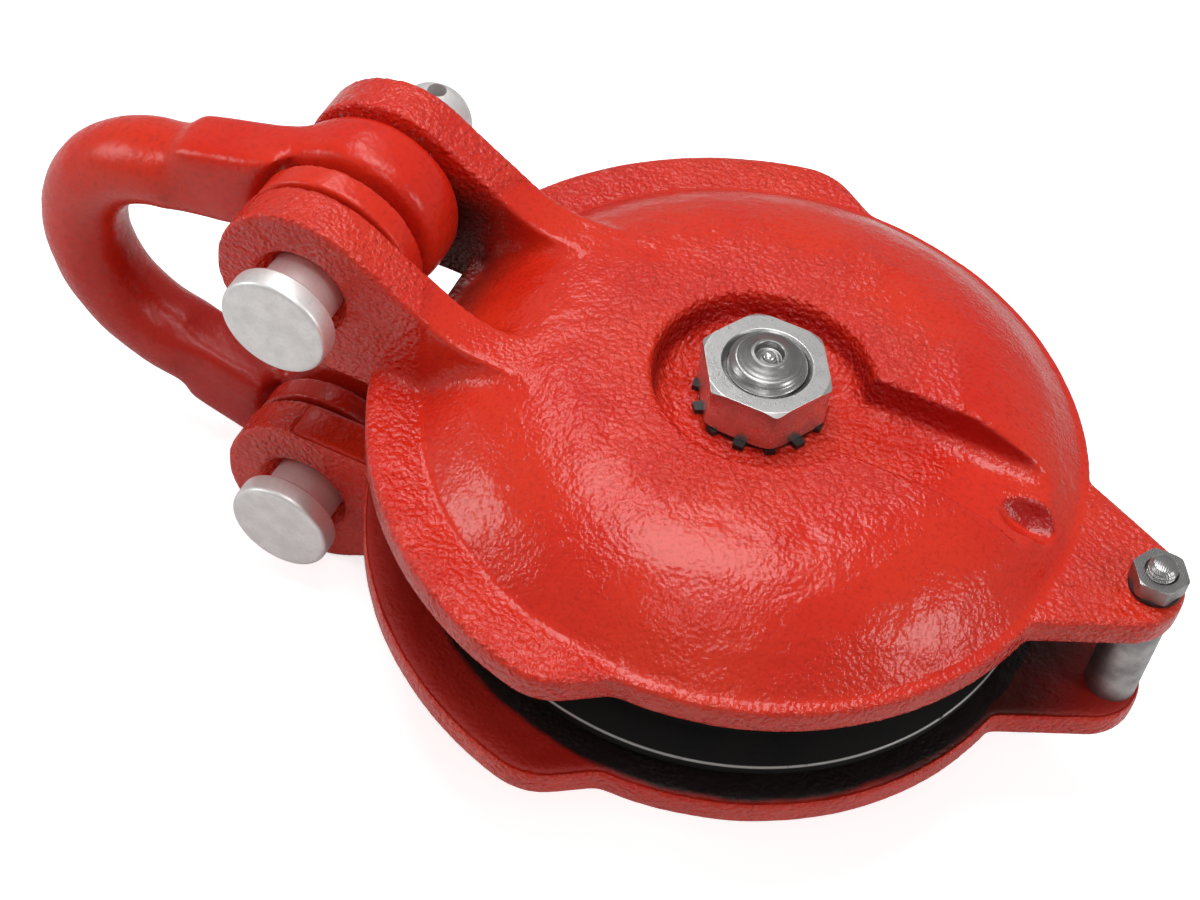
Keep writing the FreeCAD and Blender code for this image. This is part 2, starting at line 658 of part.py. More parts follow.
def build_bow():
    """Forge the bow: round crown, squared legs that widen, and two bored eyes set to the far side."""
    body = new_body("bow")
    body.AllowCompound = True
    leg = new_sketch(body, "leg_outline", "XZ_Plane")
    outline(leg, [
        ("-1 * crown_reach", "leg_start_inner"), ("-1 * pin_reach", "leg_end_inner"),
        ("-1 * pin_reach", "leg_end_outer"), ("-1 * crown_reach", "leg_start_outer"),
    ])
    upper_leg = extrude(body, "Pad", leg, "upper_leg", "leg_width", symmetric=True)
    rounded = break_edges(body, "Fillet", "leg_rounding", "leg_rounding", lambda edge: (
        isinstance(edge.Curve, Part.Line) and edge.BoundBox.YLength < 0.01
        and edge.BoundBox.XLength > number("crown_reach - pin_reach") / 2))
    mirror(body, [upper_leg, rounded], "lower_leg", "XY_Plane")

    # the round crown joins the two legs
    path = new_sketch(body, "crown_path", "XZ_Plane")
    quarter = ("crown_radius", 1, False)
    outline(path, [("-1 * crown_reach", "crown_radius"), ("-1 * (crown_reach + crown_radius)", "0"),
                   ("-1 * crown_reach", "-1 * crown_radius")], {0: quarter, 1: quarter}, closed=False)
    rod = new_sketch(body, "rod_section", "YZ_Plane", "-1 * crown_reach")
    circle(rod, "rod_radius", y="crown_radius")
    crown = body.newObject("PartDesign::AdditivePipe", "crown")
    crown.Profile = rod
    crown.Spine = (path, ["Edge1", "Edge2"])
    path.Visibility = False
    rod.Visibility = False

    eye = new_sketch(body, "eye_section", "XY_Plane", "pin_height", across="-1 * pin_reach")
    far_face = f"({EYE_NEAR_FACE} + eye_width)"
    outline(eye, [
        ("0", EYE_NEAR_FACE), ("eye_radius - eye_chamfer", EYE_NEAR_FACE),
        ("eye_radius", f"{EYE_NEAR_FACE} + eye_chamfer"), ("eye_radius", f"{far_face} - eye_chamfer"),
        ("eye_radius - eye_chamfer", far_face), ("0", far_face),
    ])
    upper_eye = turn_round(body, "Revolution", eye, "upper_eye")
    mirror(body, [upper_eye], "lower_eye", "XY_Plane")

    # the legs are cut back round the near faces of the eyes, where the collars lie
    spots = new_sketch(body, "spot_faces", "XZ_Plane", f"-1 * {EYE_NEAR_FACE}")
    circle(spots, "collar_radius + spot_face_margin", x="-1 * pin_reach", y="pin_height")
    circle(spots, "collar_radius + spot_face_margin", x="-1 * pin_reach", y="-1 * pin_height")
    extrude(body, "Pocket", spots, "spot_faced", "leg_width", reverse=True)

    bores = new_sketch(body, "eye_bores", "XZ_Plane")
    circle(bores, "pin_radius + running_fit", x="-1 * pin_reach", y="pin_height")
    circle(bores, "pin_radius + running_fit", x="-1 * pin_reach", y="-1 * pin_height")
    extrude(body, "Pocket", bores, "eyes_bored", "eye_width * 3", symmetric=True)
    return body


def build_pin(label, side):
    """Turn a headed clevis pin with a cross hole near its plain end."""
    body = new_body(label, x="-1 * pin_reach", z=f"{side} * pin_height")
    section = new_sketch(body, f"{label}_section", "XY_Plane")
    under = f"-1 * ({EAR_OUTER} + pin_head_gap)"
    face = f"-1 * ({EAR_OUTER} + pin_head_gap + pin_head_thickness)"
    outline(section, [
        ("0", face), ("pin_head_radius - pin_head_chamfer", face),
        ("pin_head_radius", f"{face} + pin_head_chamfer"), ("pin_head_radius", under),
        ("pin_radius", under), ("pin_radius", "pin_end_reach - pin_end_chamfer"),
        ("pin_radius - pin_end_chamfer", "pin_end_reach"), ("0", "pin_end_reach"),
    ])
    turn_round(body, "Revolution", section, f"{label}_turned")
    cross = new_sketch(body, f"{label}_cross", "XY_Plane")
    circle(cross, "cross_hole_radius", y="pin_end_reach - cross_hole_inset")
    extrude(body, "Pocket", cross, f"{label}_crossed", "pin_radius * 3", symmetric=True)
    return body


def build_collar(label, side):
    """Turn the loose collar between the near ear and the eye of the bow."""
    near = "-1 * (ear_inner - collar_gap)"
    return ring(label, "pin_radius + running_fit", "collar_radius", near, f"{near} + collar_thickness",
                role="XY_Plane", x="-1 * pin_reach", z=f"{side} * pin_height")


def build_tail_bolt():
    """Build the small bolt that closes the tail of the cheeks."""
    body = new_body("tail_bolt", x=TAIL_BOLT_REACH)
    head = new_sketch(body, "tail_head_plan", "XY_Plane", f"-1 * {FLANGE_TOP}")
    hexagon(head, "tail_flats")
    extrude(body, "Pad", head, "tail_head", "tail_head_height", reverse=True)
    chamfer_hexagon(body, "tail_head_turned", "tail_flats", f"-1 * ({FLANGE_TOP} + tail_head_height)", -1)
    shank = new_sketch(body, "tail_shank_section", "XZ_Plane")
    end = f"({FLANGE_TOP} + tail_washer_thickness + tail_nut_height + tail_bolt_end)"
    outline(shank, [
        ("0", f"-1 * {FLANGE_TOP}"), ("tail_bolt_radius", f"-1 * {FLANGE_TOP}"),
        ("tail_bolt_radius", f"{end} - tail_end_chamfer"),
        ("tail_bolt_radius - tail_end_chamfer", end), ("0", end),
    ])
    turn_round(body, "Revolution", shank, "tail_shank")
    return body


def build_all():
    """Build every sub-part."""
    fill_sheet()
    build_cheek("upper_cheek", 1)
    build_cheek("lower_cheek", -1)
    build_sheave()
    build_bush()
    build_sleeve()
    build_axle_bolt()
    build_nut("axle_nut", "axle_flats", "axle_radius", NUT_BOTTOM, "axle_nut_height")
    build_lock_washer()
    ring("upper_thrust_washer", "sleeve_radius + running_fit", "thrust_radius",
         "cheek_gap / 2 - thrust_thickness", "cheek_gap / 2")
    ring("lower_thrust_washer", "sleeve_radius + running_fit", "thrust_radius",
         "-1 * cheek_gap / 2", "-1 * cheek_gap / 2 + thrust_thickness")
    build_grease_fitting()
    build_bow()
    build_pin("upper_pin", 1)
    build_pin("lower_pin", -1)
    build_collar("upper_pin_collar", 1)
    build_collar("lower_pin_collar", -1)
    build_tail_bolt()
    build_nut("tail_nut", "tail_flats", "tail_bolt_radius", f"({FLANGE_TOP} + tail_washer_thickness)",
              "tail_nut_height", x=TAIL_BOLT_REACH)
    ring("tail_lock_washer", "tail_bolt_radius + tail_hole_clearance", "tail_washer_radius",
         FLANGE_TOP, f"{FLANGE_TOP} + tail_washer_thickness", x=TAIL_BOLT_REACH)
    ring("tail_spacer", "tail_bolt_radius + tail_hole_clearance", "spacer_radius",
         "-1 * cheek_gap / 2", "cheek_gap / 2", x=TAIL_BOLT_REACH)


def sub_parts():
    """List the finished sub-parts of the document."""
    return [item for item in doc.Objects
            if item.TypeId in ("PartDesign::Body", "Part::Sphere", "Part::Feature")]


def check_and_export():
    """Stop on any faulty feature, then write one file per sub-part."""
    doc.recompute()
    for item in doc.Objects:
        if any(word in item.State for word in ("Invalid", "Error")):
            raise RuntimeError(f"{item.Name} is {item.State}")
    os.makedirs("parts", exist_ok=True)
    for item in sub_parts():
        shape = item.Shape
        if shape.isNull() or not shape.isValid():
            raise RuntimeError(f"{item.Label} has no valid shape")
        shape.exportStep(f"parts/{item.Label}.step")
        box = shape.BoundBox
        print(f"{item.Label:22s} solids {len(shape.Solids)} volume {shape.Volume:11.1f} "
              f"x {box.XMin:8.2f} {box.XMax:8.2f} y {box.YMin:8.2f} {box.YMax:8.2f} "
              f"z {box.ZMin:8.2f} {box.ZMax:8.2f}")


build_all()
check_and_export()
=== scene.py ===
"""A snatch block dressed for its studio picture.

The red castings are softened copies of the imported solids. The turned and threaded pieces are numpy
surfaces. Every length in the dataclasses is in millimetres and becomes metres when a mesh is made.
"""

import logging
import math
from dataclasses import dataclass
from enum import Enum
from functools import cache, reduce

import bmesh
import bpy
import numpy as np
from mathutils import Matrix, Vector

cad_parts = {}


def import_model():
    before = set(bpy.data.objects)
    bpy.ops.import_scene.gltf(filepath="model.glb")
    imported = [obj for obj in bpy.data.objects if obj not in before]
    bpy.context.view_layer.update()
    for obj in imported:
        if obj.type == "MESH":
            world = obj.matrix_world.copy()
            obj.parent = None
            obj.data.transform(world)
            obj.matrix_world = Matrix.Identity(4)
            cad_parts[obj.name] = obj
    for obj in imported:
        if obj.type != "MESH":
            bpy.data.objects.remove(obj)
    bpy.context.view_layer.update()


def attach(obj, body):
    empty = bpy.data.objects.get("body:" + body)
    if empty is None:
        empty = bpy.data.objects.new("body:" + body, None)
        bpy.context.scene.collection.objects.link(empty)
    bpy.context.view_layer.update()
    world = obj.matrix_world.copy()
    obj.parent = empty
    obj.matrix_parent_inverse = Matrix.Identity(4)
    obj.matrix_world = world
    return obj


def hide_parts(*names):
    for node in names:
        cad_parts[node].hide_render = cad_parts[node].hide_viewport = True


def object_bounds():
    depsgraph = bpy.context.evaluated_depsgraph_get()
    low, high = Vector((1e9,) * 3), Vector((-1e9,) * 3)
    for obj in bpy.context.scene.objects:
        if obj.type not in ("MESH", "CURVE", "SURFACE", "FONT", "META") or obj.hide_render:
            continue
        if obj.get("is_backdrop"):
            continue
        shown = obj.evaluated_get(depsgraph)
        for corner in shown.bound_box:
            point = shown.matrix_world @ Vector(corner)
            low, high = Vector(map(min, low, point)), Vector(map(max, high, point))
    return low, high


LOG = logging.getLogger("snatch_block")
MM = 0.001
FULL_TURN = 2.0 * math.pi

# The places of the tail bolt's axis and of the upper pin's axis in millimetres; the lower pin mirrors it
TAIL = (84.3, 0.0, 0.0)
PIN_REACH = 90.5
PIN_HEIGHT = 32.3

Colour = tuple[float, float, float]
Pair = tuple[float, float]
Triple = tuple[float, float, float]
Tree = bpy.types.NodeTree
Piece = bpy.types.Object


class Axis(Enum):
    """The row's axes that a piece can be turned or bored about, each with its column."""

    Y = 1
    Z = 2


# Node graphs


@dataclass(frozen=True)
class Value:
    """A number, place or colour in a node tree; sums with it add Math nodes."""

    graph: "Graph"
    socket: bpy.types.NodeSocket

    def __add__(self, other: object) -> "Value":
        return self.graph.math("ADD", self, other)

    def __sub__(self, other: object) -> "Value":
        return self.graph.math("SUBTRACT", self, other)

    def __rsub__(self, other: object) -> "Value":
        return self.graph.math("SUBTRACT", other, self)

    def __mul__(self, other: object) -> "Value":
        return self.graph.math("MULTIPLY", self, other)

    def __truediv__(self, other: object) -> "Value":
        return self.graph.math("DIVIDE", self, other)

    def __rtruediv__(self, other: object) -> "Value":
        return self.graph.math("DIVIDE", other, self)

    def __abs__(self) -> "Value":
        return self.graph.math("ABSOLUTE", self)

    def most(self, other: object) -> "Value":
        """Take the greater of two values."""
        return self.graph.math("MAXIMUM", self, other)

    def span(self, low: float, high: float, start: float = 0.0, end: float = 1.0) -> "Value":
        """Map the span from low to high smoothly onto start to end."""
        places = ("Value", "From Min", "From Max", "To Min", "To Max")
        inputs = dict(zip(places, (self, low, high, start, end)))
        return self.graph.value("ShaderNodeMapRange", inputs, "Result", interpolation_type="SMOOTHSTEP")

    def mask(self, none: float, full: float) -> "Value":
        """Rise from 0 where this length is none to 1 where it is full, both in millimetres."""
        return self.span(none * MM, full * MM)

    def blend(self, first: object, second: object) -> "Value":
        """Mix two colours by this share of the second."""
        node = self.graph.node("ShaderNodeMix", data_type="RGBA")
        sockets = {socket.identifier: socket for socket in (*node.inputs, *node.outputs)}
        for name, value in (("Factor_Float", self), ("A_Color", first), ("B_Color", second)):
            self.graph.feed(sockets[name], opaque(value))
        return Value(self.graph, sockets["Result_Color"])

    def split(self) -> tuple["Value", ...]:
        """Split this vector into its three coordinates."""
        node = self.graph.node("ShaderNodeSeparateXYZ", {"Vector": self})
        return tuple(Value(self.graph, socket) for socket in node.outputs)

    def length(self) -> "Value":
        """Length of this vector."""
        return self.graph.value("ShaderNodeVectorMath", {0: self}, "Value", operation="LENGTH")

    def beside(self, other: "Value") -> "Value":
        """Length of the flat vector with this and another coordinate."""
        return self.graph.value("ShaderNodeCombineXYZ", {"X": self, "Y": other}).length()

    def noise(self, width: float, detail: float = 2.0, stretch: Triple = (1, 1, 1)) -> "Value":
        """Noise at this place, with features about a width in millimetres, stretched along the axes."""
        scale = tuple(1.0 / (width * MM * share) for share in stretch)
        place = self.graph.value("ShaderNodeMapping", {"Vector": self, "Scale": scale})
        return self.graph.value("ShaderNodeTexNoise", {"Vector": place, "Scale": 1.0, "Detail": detail})


class Graph:
    """A node tree with short ways to add nodes and join them."""

    def __init__(self, tree: Tree) -> None:
        """Keep the tree that nodes are added to."""
        self.tree = tree

    def node(self, kind: str, inputs: dict | None = None, **settings: object) -> bpy.types.Node:
        """Add a node.

        Args:
            kind: the node's Blender type name.
            inputs: values or plain values by input name or number.
            settings: the node's own properties.

        Returns:
            The new node.
        """
        node = self.tree.nodes.new(kind)
        for name, value in settings.items():
            setattr(node, name, value)
        for name, value in (inputs or {}).items():
            self.feed(node.inputs[name], value)
        return node

    def value(
        self, kind: str, inputs: dict | None = None, output: str | int = 0, **settings: object
    ) -> Value:
        """Add a node and take one of its outputs."""
        return Value(self, self.node(kind, inputs, **settings).outputs[output])

    def feed(self, socket: bpy.types.NodeSocket, value: object) -> None:
        """Join a socket to a value, or set its plain value."""
        if isinstance(value, Value):
            self.tree.links.new(value.socket, socket)
        else:
            socket.default_value = value

    def math(self, operation: str, *values: object, clamp: bool = False) -> Value:
        """Add a Math node for some values; clamp keeps its answer between 0 and 1."""
        return self.value("ShaderNodeMath", dict(enumerate(values)), operation=operation, use_clamp=clamp)

    def group(self, tree: Tree, **inputs: object) -> dict[str, Value]:
        """Place a node group.

        Args:
            tree: the group.
            inputs: its inputs by name; an underscore stands for a space.

        Returns:
            Its outputs by name.
        """
        node = self.node("ShaderNodeGroup")
        node.node_tree = tree
        for name, value in inputs.items():
            self.feed(node.inputs[name.replace("_", " ")], value)
        return {socket.name: Value(self, socket) for socket in node.outputs}

    def give(self, **outputs: Value) -> Tree:
        """Give a group its outputs by name."""
        for name in outputs:
            self.tree.interface.new_socket(name, in_out="OUTPUT", socket_type="NodeSocketFloat")
        leave = self.node("NodeGroupOutput")
        for name, value in outputs.items():
            self.feed(leave.inputs[name], value)
        return self.tree


def opaque(colour: object) -> object:
    """Give a plain colour its alpha; anything else stays as it is."""
    return (*colour, 1.0) if isinstance(colour, tuple) else colour


def new_group(name: str, numbers: dict[str, float]) -> tuple[Graph, list[Value]]:
    """Start a shader node group that takes a place and some numbers.

    Args:
        name: the group's name.
        numbers: the default of each number by name.

    Returns:
        The graph, and the place and the numbers as values.
    """
    tree = bpy.data.node_groups.new(name, "ShaderNodeTree")
    tree.interface.new_socket("Place", in_out="INPUT", socket_type="NodeSocketVector")
    for label, default in numbers.items():
        socket = tree.interface.new_socket(label, in_out="INPUT", socket_type="NodeSocketFloat")
        socket.default_value = default
    graph = Graph(tree)
    entry = graph.node("NodeGroupInput")
    return graph, [Value(graph, entry.outputs[label]) for label in ("Place", *numbers)]


# Shader effects, each a group that is built once


@cache
def cast_pebbles(swell_ratio: float = 4.5, patch: float = 14.0, dome_share: float = 0.4) -> Tree:
    """Sand cast skin under paint: rounded grains, a slower swell and a few pits.

    Args:
        swell_ratio: the swell's width over the grain's.
        patch: the width of the smoother patches.
        dome_share: the share of round grains; the rest is fine noise.

    Returns:
        A group that gives Height from 0 to 1 and Pits from 0 to 1.
    """
    numbers = {"Grain": 1.5, "Swell": 0.5, "Patchiness": 0.5}
    graph, (place, grain, swell, patchiness) = new_group("cast_pebbles", numbers)
    scale = 1.0 / MM / grain
    inputs = {"Vector": place, "Scale": scale, "Detail": 2.5, "Roughness": 0.55}
    fine = graph.value("ShaderNodeTexNoise", inputs)
    slow = graph.value("ShaderNodeTexNoise", {"Vector": place, "Scale": scale / swell_ratio, "Detail": 1.0})
    inputs = {"Vector": place, "Scale": scale, "Smoothness": 0.6}
    grains = graph.value("ShaderNodeTexVoronoi", inputs, "Distance", feature="SMOOTH_F1")
    domes = graph.math("SUBTRACT", 1.0, grains, clamp=True)
    weight = 1.0 - patchiness * place.noise(patch, 1.0).span(0.38, 0.62)
    rough = (fine * (1.0 - dome_share) + domes * dome_share) * weight
    return graph.give(Height=rough + slow * swell, Pits=fine.span(0.52, 0.30))


@cache
def tone_drift() -> Tree:
    """Slow change of tone over a painted or plated face: Tone from 0 to 1, mostly near the middle."""
    graph, (place, size) = new_group("tone_drift", {"Size": 20.0})
    broad = graph.value("ShaderNodeTexNoise", {"Vector": place, "Scale": 1.0 / MM / size, "Detail": 3.0})
    return graph.give(Tone=broad.span(0.3, 0.7))


@cache
def edge_wear() -> Tree:
    """Mask of a piece's sharp edges, found by comparing its normal with a widened one."""
    graph, (place, width, break_up) = new_group("edge_wear", {"Width": 0.8, "Break Up": 0.5})
    wide = graph.value("ShaderNodeBevel", {"Radius": width * MM}, samples=4)
    true = graph.value("ShaderNodeNewGeometry", output="Normal")
    same = graph.value("ShaderNodeVectorMath", {0: wide, 1: true}, "Value", operation="DOT_PRODUCT")
    bend = graph.math("SUBTRACT", 1.0, same, clamp=True)
    keep = 1.0 - break_up * place.noise(1.2, 3.0).span(0.35, 0.6)
    return graph.give(Mask=bend.span(0.01, 0.12) * keep)


@cache
def turning_marks() -> Tree:
    """Height of the fine rings left by a lathe tool round the z axis of the given place."""
    graph, (place, pitch) = new_group("turning_marks", {"Pitch": 0.4})
    x, y, z = place.split()
    turns = (x.beside(y) + z) / (pitch * MM)
    return graph.give(Height=graph.math("SINE", turns * FULL_TURN) * 0.5 + 0.5)


@cache
def scratches(width: float = 0.35, stretch: float = 18.0) -> Tree:
    """Mask of short fine scratches that run every way.

    Args:
        width: the width of a scratch.
        stretch: its length over its width.

    Returns:
        A group that gives Mask, 1 in a scratch.
    """
    graph, (place, amount) = new_group("scratches", {"Amount": 0.5})
    masks = []
    for turn in ((0.4, 0.2, 0.5), (1.3, 0.9, 2.1), (2.2, 1.7, 0.9)):
        turned = graph.value("ShaderNodeMapping", {"Vector": place, "Rotation": turn})
        masks.append(turned.noise(width, 1.0, (stretch, 1.0, 1.0)).span(0.66, 0.72))
    return graph.give(Mask=reduce(Value.most, masks) * amount)


# Finishes


class Finish:
    """A material that is made once, from the surface that each kind of finish describes."""

    name: str

    def surface(self, graph: Graph, place: Value) -> dict[str, object]:
        """Describe the surface.

        Args:
            graph: the material's graph.
            place: the Object coordinates.

        Returns:
            The Principled shader's inputs by name, and the Height of the skin in metres.
        """
        raise NotImplementedError

    def material(self) -> bpy.types.Material:
        """Give the material, which is made the first time that it is asked for."""
        if self.name in bpy.data.materials:
            return bpy.data.materials[self.name]
        material = bpy.data.materials.new(self.name)
        material.use_nodes = True
        graph = Graph(material.node_tree)
        inputs = self.surface(graph, graph.value("ShaderNodeTexCoord", output="Object"))
        bump = {"Height": inputs.pop("Height"), "Strength": 1.0, "Distance": 1.0}
        inputs["Normal"] = graph.value("ShaderNodeBump", bump)
        for name, value in inputs.items():
            graph.feed(graph.tree.nodes["Principled BSDF"].inputs[name], value)
        return material


@dataclass(frozen=True)
class Enamel(Finish):
    """Glossy enamel over a forged skin, with painted shade where the piece lies low and a painted highlight
    along its edges; lengths in millimetres.
    """

    name: str = "bow_enamel"
    colour: Colour = (0.68, 0.019, 0.007)
    # colour of the pits, and also of the painted shade low on the bow and on the cheeks' hollow walls
    pit_and_shade: Colour = (0.36, 0.006, 0.005)
    bright: Colour = (0.72, 0.034, 0.012)
    # lighter red along sharp edges: partly thin paint, mostly a painted highlight
    edge: Colour = (0.72, 0.085, 0.045)
    grain: float = 1.3
    depth: float = 0.20
    swell: float = 0.9
    patchiness: float = 0.6
    drift: float = 26.0
    edge_width: float = 0.8
    edge_sheen_share: float = 0.25
    pit_share: float = 0.30
    # painted shade low on the bow: its share, and the heights in millimetres over which it comes in
    low_shade_share: float = 0.55
    low_shade_span: Pair = (4.0, -22.0)
    roughness: float = 0.28
    specular: float = 0.34

    def surface(self, graph: Graph, place: Value) -> dict[str, object]:
        """Describe the paint, evenly and then in its own places."""
        skin = graph.group(cast_pebbles(), Place=place, Grain=self.grain, Swell=self.swell,
                           Patchiness=self.patchiness)
        tone = graph.group(tone_drift(), Place=place, Size=self.drift)["Tone"]
        edge = graph.group(edge_wear(), Place=place, Width=self.edge_width, Break_Up=0.6)["Mask"]
        colour = tone.blend(self.colour, self.bright)
        colour = (skin["Pits"] * self.pit_share).blend(colour, self.pit_and_shade)
        # painted highlight along the sharp edges, partly thin paint
        colour = (edge * self.edge_sheen_share).blend(colour, self.edge)
        gloss = skin["Pits"] * 0.10 + tone * 0.06 + (self.roughness - 0.05)
        height = skin["Height"] * (self.depth * MM)
        colour, gloss, height = self.locally(graph, place, colour, gloss, height)
        shine = {"Roughness": gloss, "Specular IOR Level": self.specular}
        return {"Base Color": colour, "Height": height, **shine}

    def locally(self, graph: Graph, place: Value, colour: Value, gloss: Value, height: Value) -> tuple:
        """Change the colour, gloss and height in some places; here only painted shade, darker towards the
        bottom.
        """
        # painted shade: the enamel darkens towards the bottom, in place of the shade under the bow
        low = place.split()[2].mask(*self.low_shade_span)
        return (low * self.low_shade_share).blend(colour, self.pit_and_shade), gloss, height


@dataclass(frozen=True)
class CheekEnamel(Enamel):
    """Enamel of the cheeks: painted shade in the hollows and between the ears, dull inside with painted shade
    and some grease, coarser round the axle.
    """

    name: str = "cast_enamel"
    grain: float = 0.9
    depth: float = 0.34
    roughness: float = 0.17
    specular: float = 0.38
    # share of painted shade on the walls of the pocket, the channel and the dimple
    wall_shade_share: float = 0.85
    pocket_radius: float = 21.5
    channel_end: float = 66.0
    channel_half_width: float = 10.5
    dimple_middle: Pair = (58.3, -1.5)
    dimple_half_size: Pair = (8.6, 5.8)
    # darker red of the inner faces between the cheeks: painted shade, partly grease
    inner: Colour = (0.42, 0.013, 0.007)
    inner_share: float = 0.85
    inner_level: float = 12.9
    inner_start: float = -78.0
    inner_dullness: float = 0.30
    # near-black painted shade, partly grease, round the sheave, towards the tail and between the ears
    grease_and_shade: Colour = (0.011, 0.006, 0.005)
    grease_and_shade_radius: float = 67.3
    tail_fade: Pair = (86.0, 68.0)
    tail_start: Pair = (44.0, 56.0)
    # painted shade, with some dirt, between the ears
    gap_half_width: float = 13.6
    gap_fade: Pair = (-52.0, -70.0)
    gap_top: Pair = (45.0, 32.0)
    coarse_span: Pair = (58.0, 40.0)
    coarse_grain: float = 1.1
    coarse_depth: float = 1.5
    coarse_gloss: float = 0.07
    lip_span: Pair = (66.0, 69.0)
    lip_share: float = 0.8

    def locally(self, graph: Graph, place: Value, colour: Value, gloss: Value, height: Value) -> tuple:
        """Change the enamel: painted shade in the hollows, on the inner faces and between the ears, and a
        coarser skin round the axle and on the lip.
        """
        inside, greasy_and_shaded = self.inner_faces(place)
        gap_shade_and_dirt = self.clevis_gap_shade(place)
        coarse = self.coarse_skin(place)
        # painted shade on the hollow walls
        colour = (self.shaded_hollow_walls(graph, place) * self.wall_shade_share).blend(colour, self.pit_and_shade)
        # painted shade on the inner faces between the cheeks
        colour = (inside * self.inner_share).blend(colour, self.inner)
        # near-black painted shade, partly grease, round the sheave, at the tail and in the clevis gap
        colour = greasy_and_shaded.most(gap_shade_and_dirt).blend(colour, self.grease_and_shade)
        gloss = gloss + inside.most(gap_shade_and_dirt) * self.inner_dullness - coarse * self.coarse_gloss
        skin = graph.group(cast_pebbles(), Place=place, Grain=self.coarse_grain, Swell=0.3, Patchiness=0.3)
        return colour, gloss, height + skin["Height"] * coarse * (self.coarse_depth * MM)

    def shaded_hollow_walls(self, graph: Graph, place: Value) -> Value:
        """Mask of painted shade on the walls of the nut pocket, the wrench channel and the dimple's near end,
        there only on the wall facing the near side.
        """
        x, y, _ = place.split()
        pocket = x.beside(y).mask(self.pocket_radius + 1.0, self.pocket_radius)
        channel = abs(y).mask(self.channel_half_width + 1.0, self.channel_half_width)
        channel = channel * x.mask(0.0, 4.0) * x.mask(self.channel_end + 2.0, self.channel_end)
        _, facing_side, facing_up = graph.value("ShaderNodeTexCoord", output="Normal").split()
        walls = pocket.most(channel) * abs(facing_up).span(0.75, 0.35)
        first, second = (
            (value - middle * MM) / (half * MM)
            for value, middle, half in zip((x, y), self.dimple_middle, self.dimple_half_size)
        )
        # in the dimple only the wall facing the near side gets the painted shade
        return walls.most(first.beside(second).span(1.1, 0.9) * facing_side.span(-0.10, -0.35))

    def inner_faces(self, place: Value) -> tuple[Value, Value]:
        """Masks of the dull inner faces, which get painted shade, and of the near-black painted shade, partly
        grease, round the sheave and towards the tail.
        """
        x, y, z = place.split()
        inside = abs(z).mask(self.inner_level + 0.5, self.inner_level)
        inside = inside * x.mask(self.inner_start, self.inner_start + 4.0)
        ragged = x.beside(y) + place.noise(7.0) * (1.6 * MM)
        near = ragged.mask(self.grease_and_shade_radius + 1.8, self.grease_and_shade_radius + 0.2)
        tail = x.mask(*self.tail_fade) * x.mask(*self.tail_start) * 0.85
        return inside, inside * near.most(tail)

    def clevis_gap_shade(self, place: Value) -> Value:
        """Mask of painted shade, with some dirt, between two ears, full near the pin and fading towards the
        dome and upwards.
        """
        x, y, z = place.split()
        between = abs(y).mask(self.gap_half_width + 0.4, self.gap_half_width)
        along = (x + place.noise(6.0) * (5.0 * MM)).mask(*self.gap_fade)
        return between * along * abs(z).mask(*self.gap_top) * 0.93

    def coarse_skin(self, place: Value) -> Value:
        """Mask of the coarser skin round the axle, fading out in patches, and on the lip."""
        x, y, z = place.split()
        reach = x.beside(y)
        share = (reach + place.noise(12.0) * (24.0 * MM)).mask(*self.coarse_span)
        outside = abs(z).mask(self.inner_level, self.inner_level + 0.5)
        return share.most(reach.mask(*self.lip_span) * self.lip_share) * outside


@dataclass(frozen=True)
class Metal(Finish):
    """Bare or plated metal, turned or pressed; lengths in millimetres."""

    name: str = "zinc_plate"
    colour: Colour = (0.72, 0.71, 0.70)
    dull: Colour = (0.57, 0.56, 0.55)
    roughness: float = 0.30
    metallic: float = 0.96
    grain: float = 0.7
    depth: float = 0.03
    scratch: float = 0.5
    turning: float = 0.0
    pitch: float = 0.45
    centre: Triple = (0.0, 0.0, 0.0)
    axis: Axis = Axis.Z

    def surface(self, graph: Graph, place: Value) -> dict[str, object]:
        """Describe the metal: its skin, its rings, its scratches and its bright edges."""
        own = self.centred(graph, place)
        skin = graph.group(cast_pebbles(), Place=place, Grain=self.grain, Swell=0.6, Patchiness=0.3)
        tone = graph.group(tone_drift(), Place=place, Size=5.0)["Tone"]
        scratch = graph.group(scratches(), Place=place, Amount=self.scratch)["Mask"]
        edge = graph.group(edge_wear(), Place=place, Width=0.4, Break_Up=0.4)["Mask"]
        rings = graph.group(turning_marks(), Place=own, Pitch=self.pitch)["Height"]
        darker = tuple(0.8 * part for part in self.dull)
        brighter = tuple(min(1.0, 1.25 * part) for part in self.colour)
        colour = (skin["Pits"] * 0.25).blend(tone.blend(self.dull, self.colour), darker)
        colour = (edge * 0.5).blend(colour, brighter)
        gloss = tone * -0.10 + (self.roughness + 0.05) - scratch * 0.12
        height = (skin["Height"] + rings * self.turning - scratch * 0.3) * (self.depth * MM)
        return {"Base Color": colour, "Roughness": gloss, "Height": height, "Metallic": self.metallic}

    def centred(self, graph: Graph, place: Value) -> Value:
        """Move a pattern to the piece's own axis and turn that axis to z."""
        x, y, z = (value * MM for value in self.centre)
        inputs = {"Vector": place, "Location": (-x, -y, -z)}
        if self.axis is Axis.Y:
            inputs = {"Vector": place, "Location": (-x, z, -y), "Rotation": (math.pi / 2.0, 0.0, 0.0)}
        return graph.value("ShaderNodeMapping", inputs)


